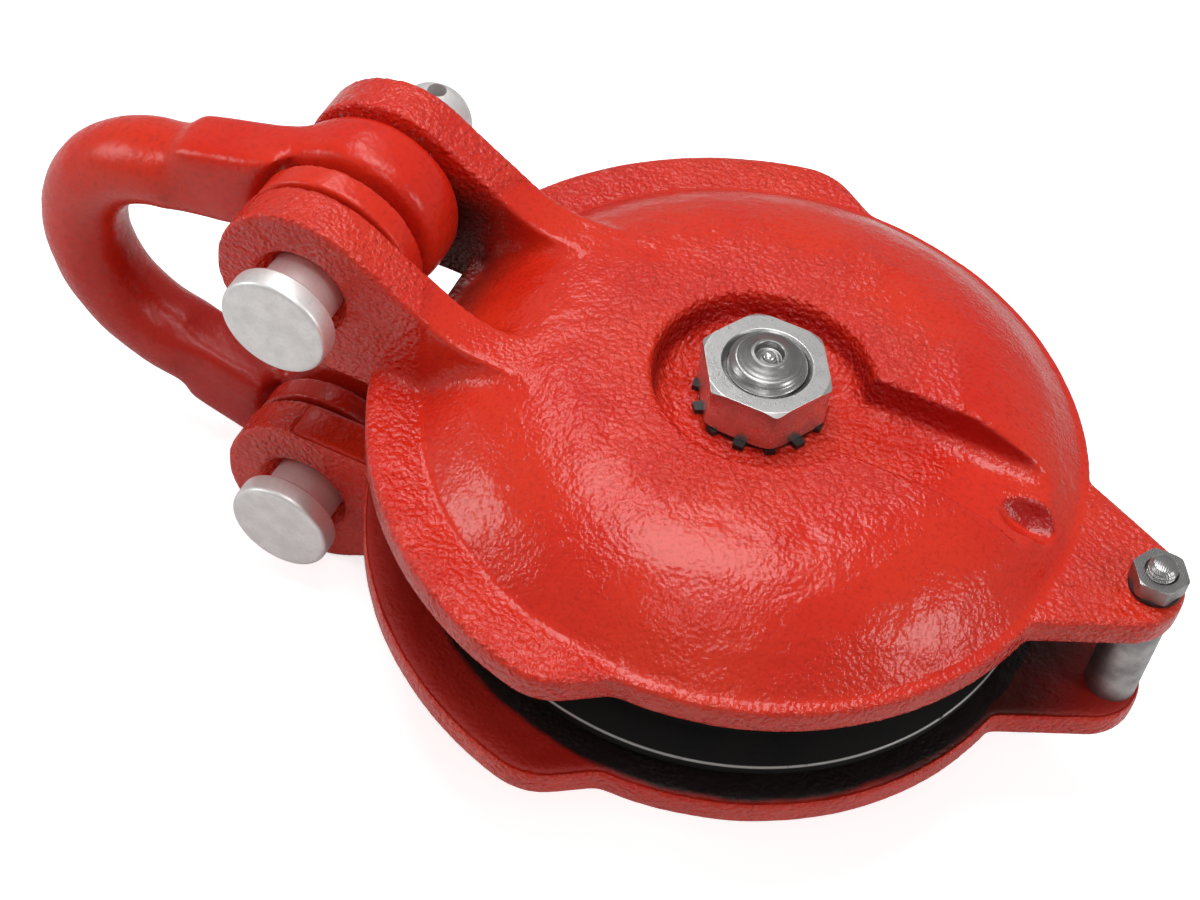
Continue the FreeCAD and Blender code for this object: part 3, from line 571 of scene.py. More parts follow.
@dataclass(frozen=True)
class BlackPaint(Finish):
    """Black paint on the sheave, rubbed to bright metal on the rim's edges, a line that also paints the
    highlight on the groove's mouth; lengths in millimetres.
    """

    name: str = "black_paint"
    colour: Colour = (0.006, 0.005, 0.005)
    dusty: Colour = (0.014, 0.012, 0.011)
    bare: Colour = (0.42, 0.40, 0.38)
    roughness: float = 0.48
    specular: float = 0.15
    rim_radius: float = 63.5
    mouth_height: float = 7.0
    depth: float = 0.06

    def surface(self, graph: Graph, place: Value) -> dict[str, object]:
        """Describe the paint and the worn line where the groove meets the rim, which also stands in for the
        highlight on that edge.
        """
        skin = graph.group(cast_pebbles(), Place=place, Grain=1.1, Swell=0.5, Patchiness=0.4)
        tone = graph.group(tone_drift(), Place=place, Size=9.0)["Tone"]
        x, y, z = place.split()
        off_edge = abs(x.beside(y) - self.rim_radius * MM) + abs(abs(z) - self.mouth_height * MM)
        # bare metal line on the groove's mouth: partly wear, partly a painted highlight
        worn_and_glint = off_edge.mask(0.55, 0.15) * place.noise(2.5, 3.0).span(0.20, 0.38)
        return {
            "Base Color": worn_and_glint.blend((tone * 0.6).blend(self.colour, self.dusty), self.bare),
            "Roughness": tone * 0.15 + self.roughness,
            "Height": skin["Height"] * (self.depth * MM),
            "Metallic": worn_and_glint,
            "Specular IOR Level": self.specular,
        }


ZINC = Metal()
DULL_ZINC = Metal(name="dull_zinc", colour=(0.36, 0.355, 0.35), dull=(0.24, 0.235, 0.23), turning=0.8,
                  roughness=0.34)
BRONZE = Metal(name="bush_bronze", colour=(0.60, 0.38, 0.16), dull=(0.45, 0.27, 0.11), turning=0.5)
BLACK_OXIDE = Metal(name="black_oxide", colour=(0.05, 0.05, 0.05), dull=(0.02, 0.02, 0.02), metallic=0.4,
                    roughness=0.45)
SLEEVE_STEEL = Metal(name="sleeve_steel", colour=(0.40, 0.39, 0.38), dull=(0.30, 0.29, 0.28), turning=0.5)
BALL_STEEL = Metal(name="steel_ball", colour=(0.62, 0.62, 0.62), dull=(0.55, 0.55, 0.55), roughness=0.18)


# Surfaces


def new_object(name: str, data: bpy.types.ID) -> Piece:
    """Make an object and add it to the scene."""
    piece = bpy.data.objects.new(name, data)
    bpy.context.scene.collection.objects.link(piece)
    return piece


def applied_mesh(piece: Piece) -> bpy.types.Mesh:
    """Give the mesh that a piece's modifiers make."""
    return bpy.data.meshes.new_from_object(piece.evaluated_get(bpy.context.evaluated_depsgraph_get()))


def smooth(piece: Piece) -> None:
    """Shade every face of a piece smooth."""
    piece.data.polygons.foreach_set("use_smooth", np.ones(len(piece.data.polygons), bool))


def rounded(corners: tuple[Triple, ...], steps: int = 5) -> np.ndarray:
    """Round the corners of a profile.

    Each inner corner is replaced by a curve that leaves the first side and meets the second at the
    corner's own distance. The curve is the quadratic blend of both sides: (1-t)^2 A + 2t(1-t) C + t^2 B.

    Args:
        corners: (radius, height, rounding) of each corner in order.
        steps: the points on each rounding.

    Returns:
        An array of (radius, height) points.
    """
    points = np.array([corner[:2] for corner in corners], float)
    share = np.linspace(0.0, 1.0, steps)[:, None]
    pieces = [points[:1]]
    for before, corner, after, (_, _, reach) in zip(points[:-2], points[1:-1], points[2:], corners[1:-1]):
        if reach <= 0.0:
            pieces.append(corner[None])
            continue
        start = corner + (before - corner) * min(0.5, reach / np.linalg.norm(before - corner))
        end = corner + (after - corner) * min(0.5, reach / np.linalg.norm(after - corner))
        pieces.append((1 - share) ** 2 * start + 2 * share * (1 - share) * corner + share ** 2 * end)
    pieces.append(points[-1:])
    return np.concatenate(pieces)


@dataclass(frozen=True)
class Swept:
    """A piece made of rings of points round one axis.

    A point at angle a is (r cos a, r sin a, h) before it is laid onto the row's axes.
    """

    name: str
    centre: Triple = (0.0, 0.0, 0.0)
    axis: Axis = Axis.Z
    steps: int = 128

    def angles(self) -> np.ndarray:
        """Give the angles of a ring's points."""
        return np.linspace(0.0, FULL_TURN, self.steps, endpoint=False)

    def swept(self, radius: np.ndarray, height: np.ndarray, ring: bool = False, merge: float = 1e-7) -> Piece:
        """Make a closed mesh from its rings.

        Args:
            radius: radii in millimetres, one row for each ring and one column for each angle, or for all.
            height: the heights, likewise.
            ring: whether the last ring joins the first. If not, both lie on the axis and are merged.
            merge: the distance in metres under which points are merged.

        Returns:
            The new piece, with outward normals.
        """
        radius, height, angle = np.broadcast_arrays(radius, height, self.angles())
        across, side = radius * np.cos(angle), radius * np.sin(angle)
        laid = (across, side, height) if self.axis is Axis.Z else (across, height, side)
        grid = (np.stack(laid, axis=-1) + np.array(self.centre)) * MM
        index = np.arange(angle.size).reshape(angle.shape)
        lower = index if ring else index[:-1]
        upper = np.roll(index, -1, axis=0) if ring else index[1:]
        faces = np.stack([lower, np.roll(lower, -1, axis=1), np.roll(upper, -1, axis=1), upper], axis=-1)
        mesh = bpy.data.meshes.new(self.name)
        mesh.from_pydata(grid.reshape(-1, 3), [], faces.reshape(-1, 4).tolist())
        work = bmesh.new()
        work.from_mesh(mesh)
        bmesh.ops.remove_doubles(work, verts=work.verts, dist=merge)
        bmesh.ops.dissolve_degenerate(work, edges=work.edges, dist=merge)
        bmesh.ops.recalc_face_normals(work, faces=work.faces)
        work.to_mesh(mesh)
        work.free()
        piece = new_object(self.name, mesh)
        smooth(piece)
        return piece


@dataclass(frozen=True, kw_only=True)
class Turned(Swept):
    """A piece turned about its axis: the profile (radius, height, rounding) swept once round."""

    corners: tuple[Triple, ...]
    ring: bool = False

    def build(self) -> Piece:
        """Sweep the profile.

        Returns:
            The finished piece.
        """
        profile = rounded(self.corners)
        if self.ring:
            profile = profile[:-1]
        return self.swept(profile[:, :1], profile[:, 1:], self.ring)


def hexagon_radius(angle: np.ndarray, flats: float, softness: float = 40.0) -> np.ndarray:
    """Radius of a hexagon with slightly rounded corners, corners on the first axis.

    The six flats are blended by a high power mean of their cosines, so corners are soft.
    """
    normals = np.arange(6) * (math.pi / 3.0) + math.pi / 6.0
    facing = np.clip(np.cos(angle[..., None] - normals), 0.0, None)
    return (flats / 2.0) / (facing ** softness).sum(axis=-1) ** (1.0 / softness)


@dataclass(frozen=True, kw_only=True)
class HexSolid(Swept):
    """A nut or a bolt head: a hexagonal prism whose corners are turned off by a cone.

    Each row is a ring of points (r(a), h(a)). On the flats r is the hexagon's radius R(a), and the
    turned edge lies at H - (R(a) - c) tan t, with c the chamfer circle and t the cone's angle.
    """

    flats: float
    bottom: float
    top: float
    bore: float = 0.0
    sink: float = 0.0
    chamfer_share: float = 1.05
    cone_angle: float = 30.0
    bevel: float = 0.25
    steps: int = 144

    def build(self) -> Piece:
        """Work out the rings, make the mesh and bevel its sharp edges.

        Returns:
            The finished piece.
        """
        reach = hexagon_radius(self.angles(), self.flats)
        circle = self.chamfer_share * self.flats / 2.0
        drop = np.clip(reach - circle, 0.0, None) * math.tan(math.radians(self.cone_angle))
        face = np.minimum(circle, reach)
        rings = (
            (self.bore, self.bottom), (0.85 * circle, self.bottom), (face, self.bottom),
            (reach, self.bottom + drop), (reach, (self.bottom + self.top) / 2.0), (reach, self.top - drop),
            (face, self.top), (self.bore + self.sink, self.top), (self.bore, self.top - self.sink),
        )
        radius, height = (
            np.stack([np.broadcast_to(part, reach.shape) for part in parts]) for parts in zip(*rings)
        )
        piece = self.swept(radius, height, ring=self.bore > 0.0)
        bevel = piece.modifiers.new("edge_bevel", "BEVEL")
        bevel.width = self.bevel * MM
        bevel.segments = 2
        bevel.limit_method = "ANGLE"
        bevel.angle_limit = math.radians(30.0)
        bevel.harden_normals = True
        return piece


@dataclass(frozen=True, kw_only=True)
class ThreadedRod(Swept):
    """A plain shank with a thread near its top.

    The radius is R - d v(h / p - a / turn), where v is a flattened triangle wave of the fraction of a
    pitch, and the top end is cut back by a cone.
    """

    radius: float
    bottom: float
    top: float
    thread_from: float
    pitch: float
    depth: float
    end_chamfer: float
    bore: float = 0.0
    bore_depth: float = 3.0
    bore_chamfer: float = 0.3
    steps: int = 96
    rows_per_pitch: int = 10
    groove_rise: float = 1.25
    groove_start: float = 0.15

    def build(self) -> Piece:
        """Work out the threaded surface and make the mesh.

        Returns:
            The finished piece.
        """
        count = int((self.top - self.thread_from) / self.pitch * self.rows_per_pitch)
        height = np.concatenate([[self.bottom], np.linspace(self.thread_from, self.top, count)])[:, None]
        turns = (height - self.thread_from) / self.pitch
        phase = np.mod(turns - self.angles() / FULL_TURN, 1.0)
        wave = 1.0 - np.abs(2.0 * phase - 1.0)
        valley = np.clip(self.groove_rise * wave - self.groove_start, 0.0, 1.0)
        radius = self.radius - self.depth * valley * np.clip(turns, 0.0, 1.0)
        radius = np.minimum(radius, self.radius - self.end_chamfer + (self.top - height))
        end = [(0.0, self.top)]
        if self.bore > 0.0:
            floor = self.top - self.bore_depth
            end = [(self.bore + self.bore_chamfer, self.top), (self.bore, self.top - self.bore_chamfer),
                   (self.bore, floor), (0.0, floor)]
        flat = np.zeros(self.steps)
        rows = [(flat, flat + self.bottom), *zip(radius, height + flat)]
        rows += [(flat + reach, flat + level) for reach, level in end]
        return self.swept(np.stack([row[0] for row in rows]), np.stack([row[1] for row in rows]))


def drill(piece: Piece, centre: Triple, radius: float, reach: float) -> None:
    """Bore a hole along z through a piece, and keep its rim sharp."""
    corners = ((0.0, -reach, 0.0), (radius, -reach, 0.0), (radius, reach, 0.0), (0.0, reach, 0.0))
    cutter = Turned("drill", centre, steps=48, corners=corners).build()
    hole = piece.modifiers.new("hole", "BOOLEAN")
    hole.operation = "DIFFERENCE"
    hole.object = cutter
    bored = applied_mesh(piece)
    piece.modifiers.clear()
    piece.data = bored
    bpy.data.objects.remove(cutter)
    bored.set_sharp_from_angle(angle=math.radians(35.0))


# Castings


def lattice_noise(points: np.ndarray, cell: float, seed: int, side: int = 48) -> np.ndarray:
    """Smooth noise from a table of random numbers.

    The eight table values round each point are blended by 3t^2 - 2t^3 of its place in the cell.

    Args:
        points: places in metres, shape (n, 3).
        cell: the cell's width in millimetres.
        seed: the table's seed.
        side: the table's width; the noise repeats after that many cells.

    Returns:
        One value from 0 to 1 for each point.
    """
    table = np.random.default_rng(seed).random((side, side, side))
    place = points / (cell * MM)
    base = np.floor(place).astype(int)
    share = place - base
    share = share * share * (3.0 - 2.0 * share)
    total = np.zeros(len(points))
    for corner in np.ndindex(2, 2, 2):
        weight = np.prod(np.where(np.array(corner) == 1, share, 1.0 - share), axis=1)
        spot = np.mod(base + np.array(corner), side)
        total += weight * table[spot[:, 0], spot[:, 1], spot[:, 2]]
    return total


@dataclass(frozen=True)
class Bore:
    """A bored hole: its axis, its place across that axis and its radius, in millimetres."""

    axis: Axis
    middle: Pair
    radius: float

    def columns(self) -> tuple[int, int]:
        """Give the columns of the two coordinates across the axis."""
        return (0, 2) if self.axis is Axis.Y else (0, 1)

    def distance(self, points: np.ndarray) -> np.ndarray:
        """Distance of each point from the axis, in metres."""
        first, second = self.columns()
        return np.hypot(points[:, first] - self.middle[0] * MM, points[:, second] - self.middle[1] * MM)


@dataclass(frozen=True)
class Casting:
    """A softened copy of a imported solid: remeshed, its hollows filleted, its skin made uneven.

    In each of the first edge_rounds all points are smoothed, and in the fillet_rounds after them only
    those in hollows. Relief is the depth of the uneven skin, and flat_height is half the distance
    between two machined faces. Points nearer to a bore than stop_radius stay between the stops.
    """

    node: str
    finish: Enamel
    bores: tuple[Bore, ...]
    body: str = "block"
    slot: str = "red_enamel"
    voxel: float = 0.82
    edge_rounds: int = 2
    fillet_rounds: int = 36
    relief: float = 0.22
    cells: Pair = (9.0, 3.4)
    broad_share: float = 0.65
    seed: int = 5
    stops: Pair = (0.0, 0.0)
    stop_radius: float = 0.0
    flat_height: float = 0.0

    def build(self) -> None:
        """Make the casting and dress it."""
        piece = self.remeshed()
        mesh = piece.data
        points = np.empty(len(mesh.vertices) * 3)
        mesh.vertices.foreach_get("co", points)
        points = points.reshape(-1, 3)
        lowest, highest = points.min(axis=0), points.max(axis=0)
        quads = np.empty(len(mesh.polygons) * 4, int)
        mesh.polygons.foreach_get("vertices", quads)
        quads = quads.reshape(-1, 4)
        held = np.any([self.on_wall(bore, points) for bore in self.bores], axis=0)
        points = self.filleted(points, quads, held)
        points = self.roughened(points, quads, held)
        self.true_bores(points)
        mesh.vertices.foreach_set("co", np.clip(points, lowest, highest).ravel())
        mesh.update()
        smooth(piece)
        dress(piece, self.finish, self.body, self.slot, self.node)

    def remeshed(self, merge: float = 1e-6) -> Piece:
        """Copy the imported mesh, merge its doubled points and remesh it evenly.

        Args:
            merge: the distance in metres under which points are merged.

        Returns:
            The new piece, with the modifier applied.
        """
        rough = new_object(f"{self.node}_rough", bpy.data.objects[self.node].data.copy())
        work = bmesh.new()
        work.from_mesh(rough.data)
        bmesh.ops.remove_doubles(work, verts=work.verts, dist=merge)
        work.to_mesh(rough.data)
        work.free()
        voxels = rough.modifiers.new("voxels", "REMESH")
        voxels.mode = "VOXEL"
        voxels.voxel_size = self.voxel * MM
        mesh = applied_mesh(rough)
        bpy.data.objects.remove(rough)
        mesh.name = f"cast_{self.node}"
        return new_object(mesh.name, mesh)

    def on_wall(self, bore: Bore, points: np.ndarray) -> np.ndarray:
        """Mark the points on a bore's wall."""
        return bore.distance(points) < (bore.radius + 0.5 * self.voxel) * MM

    def filleted(self, points: np.ndarray, quads: np.ndarray, held: np.ndarray) -> np.ndarray:
        """Round the hollows and break the edges.

        Each round moves a point towards the mean of its neighbours. In the first rounds all points
        move, and after them only those in hollows, where the mean lies outside the surface.
        """
        first, second = quads.ravel(), np.roll(quads, -1, axis=1).ravel()
        ends = np.concatenate([first, second])
        others = np.concatenate([second, first])
        count = np.bincount(ends, minlength=len(points))[:, None]
        least = 0.02 * self.voxel * MM
        for turn in range(self.edge_rounds + self.fillet_rounds):
            sums = [np.bincount(ends, points[others, axis], len(points)) for axis in range(3)]
            move = np.stack(sums, axis=1) / count - points
            if turn >= self.edge_rounds:
                outward = (move * self.normals(points, quads)).sum(axis=1)
                move[outward < least] = 0.0
            move[held] = 0.0
            points = points + 0.5 * move
        return points

    @staticmethod
    def normals(points: np.ndarray, quads: np.ndarray) -> np.ndarray:
        """Mean normal at each point, from the cross product of each face's diagonals."""
        corners = points[quads]
        faces = np.cross(corners[:, 2] - corners[:, 0], corners[:, 3] - corners[:, 1])
        spread = np.repeat(faces, 4, axis=0)
        sums = [np.bincount(quads.ravel(), spread[:, axis], len(points)) for axis in range(3)]
        total = np.stack(sums, axis=1)
        return total / np.maximum(np.linalg.norm(total, axis=1, keepdims=True), 1e-12)

    def roughened(self, points: np.ndarray, quads: np.ndarray, held: np.ndarray) -> np.ndarray:
        """Sink the skin by two sizes of noise, so that it is uneven like sand cast iron."""
        broad, fine = (lattice_noise(points, cell, self.seed + turn) for turn, cell in enumerate(self.cells))
        sunk = (self.broad_share * broad + (1.0 - self.broad_share) * fine) * self.relief * MM
        machined = np.abs(points[:, 2]) < (self.flat_height + 0.3) * MM
        sunk[held | machined] = 0.0
        return points - self.normals(points, quads) * sunk[:, None]

    def true_bores(self, points: np.ndarray) -> None:
        """Put each bore's wall on its true radius, and keep the end faces round it between the stops."""
        for bore in self.bores:
            near = self.on_wall(bore, points)
            scale = bore.radius * MM / np.maximum(bore.distance(points)[near], 1e-9)
            for column, middle in zip(bore.columns(), bore.middle):
                points[near, column] = middle * MM + (points[near, column] - middle * MM) * scale
        low, high = (stop * MM for stop in self.stops)
        for bore in self.bores:
            near = bore.distance(points) < self.stop_radius * MM
            points[near, bore.axis.value] = np.clip(points[near, bore.axis.value], low, high)


# Studio


def direction(azimuth: float, elevation: float) -> Vector:
    """Unit vector from the block towards a camera or a lamp; azimuth 0 is the near side."""
    turn, lift = math.radians(azimuth), math.radians(elevation)
    return Vector((math.sin(turn) * math.cos(lift), -math.cos(turn) * math.cos(lift), math.sin(lift)))


def is_ray(graph: Graph, kind: str) -> Value:
    """Give 1 for one kind of ray."""
    return graph.value("ShaderNodeLightPath", output=f"Is {kind} Ray")


def is_seen(graph: Graph) -> Value:
    """Give 1 for the camera's own rays, also through glass."""
    return is_ray(graph, "Camera").most(is_ray(graph, "Transmission"))


@dataclass(frozen=True)
class View:
    """The photograph's camera: angles in degrees, lengths in millimetres."""

    azimuth: float = 18.30
    elevation: float = 50.50
    roll: float = 8.19
    right: float = -29.09
    up: float = 7.30
    distance: float = 468.57
    focal_pixels: float = 2257.56
    picture_width: float = 1200.0
    sensor: float = 36.0

    def build(self) -> None:
        """Put the camera in its place and make it the scene's."""
        turn, roll = math.radians(self.azimuth), math.radians(self.roll)
        back = direction(self.azimuth, self.elevation)
        level = Vector((math.cos(turn), math.sin(turn), 0.0))
        upright = back.cross(level)
        right = level * math.cos(roll) + upright * math.sin(roll)
        up = upright * math.cos(roll) - level * math.sin(roll)
        place = (right * self.right + up * self.up + back * self.distance) * MM
        data = bpy.data.cameras.new("view")
        data.sensor_width = self.sensor
        data.lens = self.sensor * self.focal_pixels / self.picture_width
        data.clip_start = 0.01
        camera = new_object("view", data)
        camera.matrix_world = Matrix.Translation(place) @ Matrix((right, up, back)).transposed().to_4x4()
        bpy.context.scene.camera = camera


@dataclass(frozen=True)
class Lamp:
    """A soft round lamp that points at the block: degrees, millimetres and watts."""

    name: str
    azimuth: float
    elevation: float
    distance: float
    width: float
    power: float

    def build(self) -> None:
        """Add the lamp."""
        way = direction(self.azimuth, self.elevation)
        data = bpy.data.lights.new(self.name, "AREA")
        data.shape = "DISK"
        data.size = self.width * MM
        data.energy = self.power
        lamp = new_object(self.name, data)
        lamp.location = way * self.distance * MM
        lamp.rotation_euler = way.to_track_quat("Z", "Y").to_euler()


@dataclass(frozen=True)
class Studio:
    """White surroundings, a pale floor and soft lamps."""

    ambient: float = 0.12
    reflected: float = 0.40
    floor_size: float = 2400.0
    floor_tone: float = 0.85
    floor_glow: float = 0.74
    floor_fade: Pair = (260.0, 700.0)
    lamps: tuple[Lamp, ...] = (
        Lamp("overhead_lamp", -110.0, 83.0, 620.0, 420.0, 2.4),
        Lamp("left_lamp", -68.0, 20.0, 700.0, 250.0, 0.85),
        Lamp("right_lamp", 84.0, 29.0, 700.0, 260.0, 1.0),
        Lamp("front_lamp", 10.0, 54.0, 700.0, 170.0, 0.4),
        Lamp("back_lamp", -135.0, 52.0, 680.0, 200.0, 0.60),
    )

    def build(self) -> None:
        """Make the world, the floor and the lamps."""
        self.build_world()
        self.build_floor()
        for lamp in self.lamps:
            lamp.build()
        bpy.context.scene.view_settings.view_transform = "Standard"

    def build_world(self) -> None:
        """Light evenly, and show white to the camera and grey in reflections."""
        world = bpy.data.worlds.new("studio")
        world.use_nodes = True
        bpy.context.scene.world = world
        graph = Graph(world.node_tree)
        background = world.node_tree.nodes["Background"]
        mirrored = is_ray(graph, "Glossy") * self.reflected
        background.inputs["Color"].default_value = (1.0, 1.0, 1.0, 1.0)
        graph.feed(background.inputs["Strength"], is_seen(graph).most(mirrored).most(self.ambient))

    def build_floor(self) -> None:
        """Lay a pale floor under the block; to the camera it glows, so it stays white."""
        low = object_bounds()[0][2]
        half = self.floor_size * MM / 2.0
        corners = [(-half, -half, low), (half, -half, low), (half, half, low), (-half, half, low)]
        mesh = bpy.data.meshes.new("floor")
        mesh.from_pydata(corners, [], [(0, 1, 2, 3)])
        floor = new_object("floor", mesh)
        material = bpy.data.materials.new("pale_floor")
        material.use_nodes = True
        graph = Graph(material.node_tree)
        graph.tree.nodes.remove(graph.tree.nodes["Principled BSDF"])
        matt = graph.value("ShaderNodeBsdfDiffuse", {"Color": opaque((self.floor_tone,) * 3)})
        near, far = self.floor_fade
        away = graph.value("ShaderNodeTexCoord", output="Object").length()
        level = away.span(near * MM, far * MM, self.floor_glow, 1.0)
        glow = graph.value("ShaderNodeEmission", {"Strength": is_seen(graph) * level})
        both = graph.value("ShaderNodeAddShader", {0: matt, 1: glow})
        graph.feed(graph.tree.nodes["Material Output"].inputs["Surface"], both)
        mesh.materials.append(material)
        floor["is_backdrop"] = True


# The block's sub-assemblies


def dress(piece: Piece, finish: Finish, body: str, slot: str, *nodes: str) -> None:
    """Give a finished piece its material and body, and let it stand for its nodes."""
    piece.data.materials.clear()
    piece.data.materials.append(finish.material())
    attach(piece, body)
    if nodes:
        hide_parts(*nodes)
    LOG.info("%s rides on %s with %d faces", piece.name, body, len(piece.data.polygons))


def repaint(node: str, finish: Finish) -> None:
    """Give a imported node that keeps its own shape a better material."""
    mesh = bpy.data.objects[node].data
    mesh.materials.clear()
    mesh.materials.append(finish.material())
    LOG.info("%s keeps its shape", node)


@dataclass(frozen=True)
class Castings:
    """The two cheeks, the bow and the two collars."""

    enamel: Enamel = CheekEnamel()
    bow_enamel: Enamel = Enamel()
    tail_radius: float = 3.3
    axle_radius: float = 8.15
    pin_radius: float = 8.05
    inner_face: float = 12.65
    bow_faces: Pair = (-2.28, 12.88)
    bow_eye_radius: float = 19.0

    def build(self) -> None:
        """Build all five."""
        upper = Bore(Axis.Y, (-PIN_REACH, PIN_HEIGHT), self.pin_radius)
        lower = Bore(Axis.Y, (-PIN_REACH, -PIN_HEIGHT), self.pin_radius)
        axle = Bore(Axis.Z, (0.0, 0.0), self.axle_radius)
        tail = Bore(Axis.Z, TAIL[:2], self.tail_radius)
        pieces = (
            Casting("upper_cheek", self.enamel, (upper, axle, tail), flat_height=self.inner_face),
            Casting("lower_cheek", self.enamel, (lower, axle, tail), flat_height=self.inner_face, seed=9),
            Casting("bow", self.bow_enamel, (upper, lower), body="bow", voxel=0.75, edge_rounds=60,
                    fillet_rounds=80, relief=0.35, seed=13, stops=self.bow_faces,
                    stop_radius=self.bow_eye_radius),
            Casting("upper_pin_collar", self.bow_enamel, (upper,), voxel=0.6, seed=21),
            Casting("lower_pin_collar", self.bow_enamel, (lower,), voxel=0.6, seed=25),
        )
        for casting in pieces:
            casting.build()


@dataclass(frozen=True)
class Sheave:
    """The grooved sheave with its bush."""

    radius: float = 63.5
    root_radius: float = 54.0
    rope_radius: float = 5.4
    flank: float = 20.0
    half_width: float = 10.15
    bore: float = 15.0
    hub: float = 23.0
    rim_inside: float = 50.0
    web: float = 4.5
    web_slope: float = 2.0

    def build(self) -> None:
        """Turn the sheave and dress it and the bush."""
        centre = self.root_radius + self.rope_radius
        turn = np.radians(np.linspace(-90.0 + self.flank, 90.0 - self.flank, 17))
        across, aside = self.rope_radius * np.cos(turn), self.rope_radius * np.sin(turn)
        groove = [(centre - reach, height, 0.0) for reach, height in zip(across, aside)]
        touch = groove[-1]
        mouth = touch[1] + (self.radius - touch[0]) * math.tan(math.radians(self.flank))
        half = [
            (self.radius, mouth, 0.35), (self.radius, self.half_width, 1.0),
            (self.rim_inside, self.half_width, 0.8), (self.rim_inside - self.web_slope, self.web, 1.5),
            (self.hub + self.web_slope, self.web, 1.5), (self.hub, self.half_width, 0.8),
            (self.bore, self.half_width, 0.3),
        ]
        other = [(reach, -height, rounding) for reach, height, rounding in reversed(half)]
        corners = (*groove, *half, *other, groove[0])
        piece = Turned("turned_sheave", steps=256, corners=corners, ring=True).build()
        paint = BlackPaint(rim_radius=self.radius, mouth_height=mouth)
        dress(piece, paint, "sheave", "black_iron", "sheave")
        repaint("sheave_bush", BRONZE)


@dataclass(frozen=True)
class ThroughBolt:
    """A bolt through both cheeks: its nut, its threaded shank and its head."""

    label: str
    nut: HexSolid
    shank: ThreadedRod
    head: HexSolid
    nut_finish: Metal

    def build(self) -> None:
        """Build and dress the three pieces."""
        dress(self.nut.build(), self.nut_finish, "block", "zinc_steel", f"{self.label}_nut")
        dress(self.shank.build(), DULL_ZINC, "block", "zinc_steel", f"{self.label}_bolt")
        dress(self.head.build(), ZINC, "block", "zinc_steel")


@dataclass(frozen=True)
class Axle:
    """The through bolt, its nut, washers, sleeve and grease fitting."""

    bolt: ThroughBolt = ThroughBolt(
        "axle",
        HexSolid("hex_axle_nut", flats=24.0, bottom=28.05, top=38.4, bore=8.0, sink=1.1),
        ThreadedRod("threaded_axle", radius=8.0, bottom=-27.0, top=40.0, thread_from=26.05, pitch=2.0,
                    depth=1.15, end_chamfer=1.4, bore=2.0),
        HexSolid("hex_axle_head", flats=24.0, bottom=-36.8, top=-26.8),
        ZINC,
    )
    fitting: tuple[Triple, ...] = (
        (0.0, 34.0, 0.0), (1.9, 34.0, 0.0), (1.9, 39.4, 0.0), (6.3, 39.9, 0.3), (4.5, 40.9, 0.8),
        (3.6, 41.6, 0.4), (2.9, 41.6, 0.2), (2.6, 39.9, 0.3), (0.0, 39.3, 0.0),
    )
    ball: float = 1.6
    ball_height: float = 39.7

    def build(self) -> None:
        """Build and dress every piece on the axle."""
        self.bolt.build()
        repaint("axle_lock_washer", BLACK_OXIDE)
        repaint("axle_sleeve", SLEEVE_STEEL)
        for node in ("upper_thrust_washer", "lower_thrust_washer"):
            repaint(node, BRONZE)
        fitting = Turned("turned_fitting", steps=72, corners=self.fitting).build()
        dress(fitting, DULL_ZINC, "block", "zinc_steel", "grease_fitting")
        turn = np.radians(np.linspace(-90.0, 90.0, 15))
        arc = [(self.ball * math.cos(a), self.ball_height + self.ball * math.sin(a), 0.0) for a in turn]
        arc[0], arc[-1] = ((0.0, self.ball_height + side * self.ball, 0.0) for side in (-1.0, 1.0))
        ball = Turned("turned_ball", steps=48, corners=tuple(arc)).build()
        dress(ball, BALL_STEEL, "block", "plain_steel", "grease_ball")


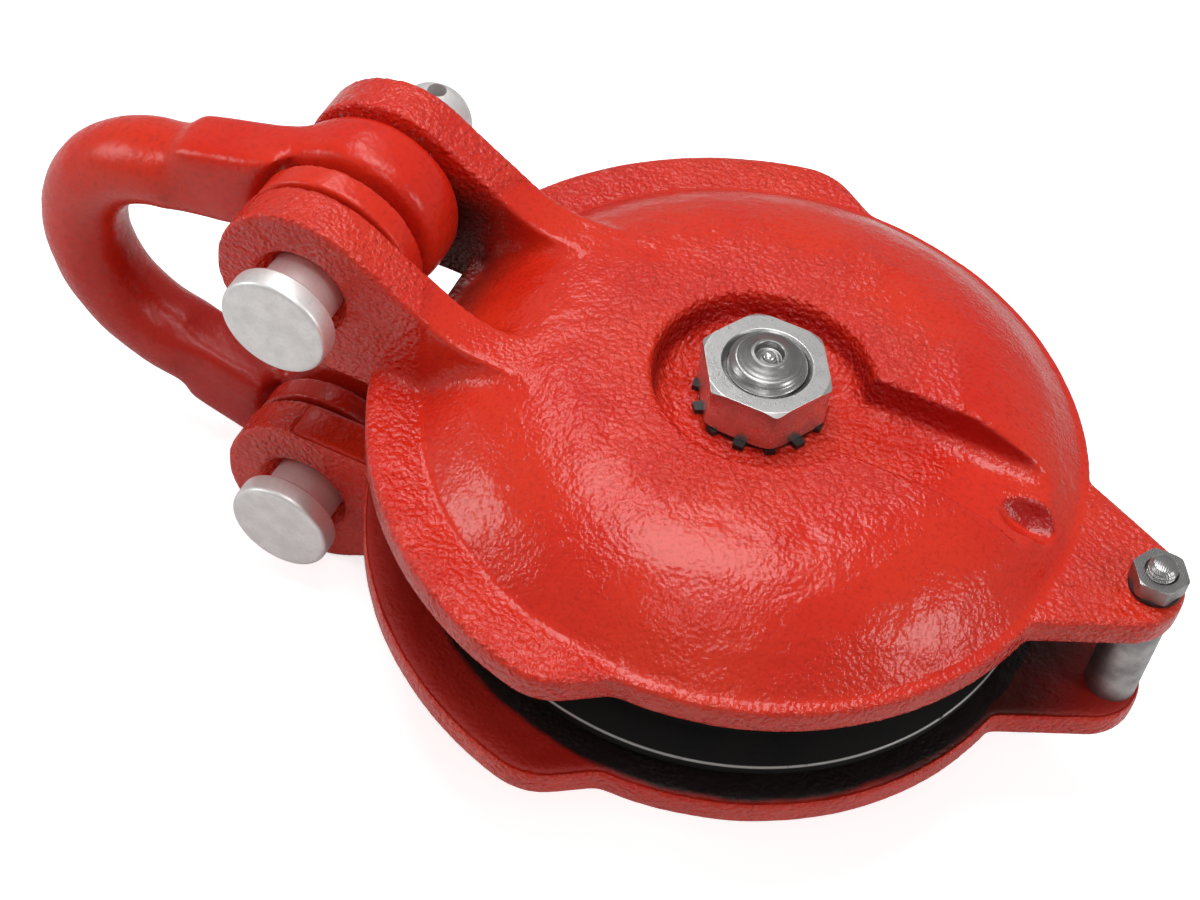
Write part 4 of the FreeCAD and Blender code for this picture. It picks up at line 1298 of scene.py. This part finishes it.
@dataclass(frozen=True)
class Pins:
    """The two headed clevis pins."""

    radius: float = 8.0
    head_radius: float = 11.6
    face: float = -34.4
    head: float = 5.0
    end: float = 40.0
    taper: Pair = (2.2, 2.6)
    hole_reach: float = 35.5
    hole_radius: float = 2.1

    def build(self) -> None:
        """Turn both pins, drill their cross holes and dress them."""
        under = self.face + self.head
        taper_depth, taper_length = self.taper
        corners = (
            (0.0, self.face + 0.25, 0.0), (4.0, self.face + 0.2, 2.0), (9.0, self.face, 1.5),
            (self.head_radius, self.face, 1.2), (self.head_radius, under, 0.6), (self.radius, under, 0.4),
            (self.radius, self.end - taper_length, 1.0),
            (self.radius - taper_depth, self.end, 0.8), (0.0, self.end, 0.0),
        )
        for name, height in (("upper_pin", PIN_HEIGHT), ("lower_pin", -PIN_HEIGHT)):
            centre = (-PIN_REACH, 0.0, height)
            piece = Turned(f"turned_{name}", centre, Axis.Y, corners=corners).build()
            drill(piece, (centre[0], self.hole_reach, centre[2]), self.hole_radius, 1.5 * self.radius)
            finish = Metal(name=f"zinc_{name}", centre=centre, axis=Axis.Y, turning=0.2, grain=0.9,
                           roughness=0.45, metallic=0.7, colour=(0.90, 0.88, 0.865), dull=(0.79, 0.77, 0.755))
            dress(piece, finish, name, "zinc_steel", name)


@dataclass(frozen=True)
class Tail:
    """The small bolt, nut, washer and spacer that close the tail."""

    bolt: ThroughBolt = ThroughBolt(
        "tail",
        HexSolid("hex_tail_nut", TAIL, flats=10.0, bottom=21.05, top=25.05, bore=3.0, sink=0.4),
        ThreadedRod("threaded_tail_bolt", TAIL, radius=3.0, bottom=-20.35, top=27.35, thread_from=12.0,
                    pitch=1.0, depth=0.55, end_chamfer=0.9),
        HexSolid("hex_tail_head", TAIL, flats=10.0, bottom=-24.15, top=-20.15),
        DULL_ZINC,
    )
    spacer: Metal = Metal(name="dull_spacer", colour=(0.48, 0.46, 0.45), dull=(0.28, 0.27, 0.265),
                          roughness=0.42, centre=TAIL, turning=0.6)

    def build(self) -> None:
        """Build and dress every piece of the tail bolt."""
        self.bolt.build()
        repaint("tail_lock_washer", BLACK_OXIDE)
        repaint("tail_spacer", self.spacer)


def main() -> None:
    """Build the whole scene."""
    logging.basicConfig(level=logging.INFO, format="%(message)s")
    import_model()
    View().build()
    Studio().build()
    for assembly in (Castings(), Sheave(), Axle(), Pins(), Tail()):
        LOG.info("building %s", type(assembly).__name__)
        assembly.build()


if __name__ == "__main__":
    main()
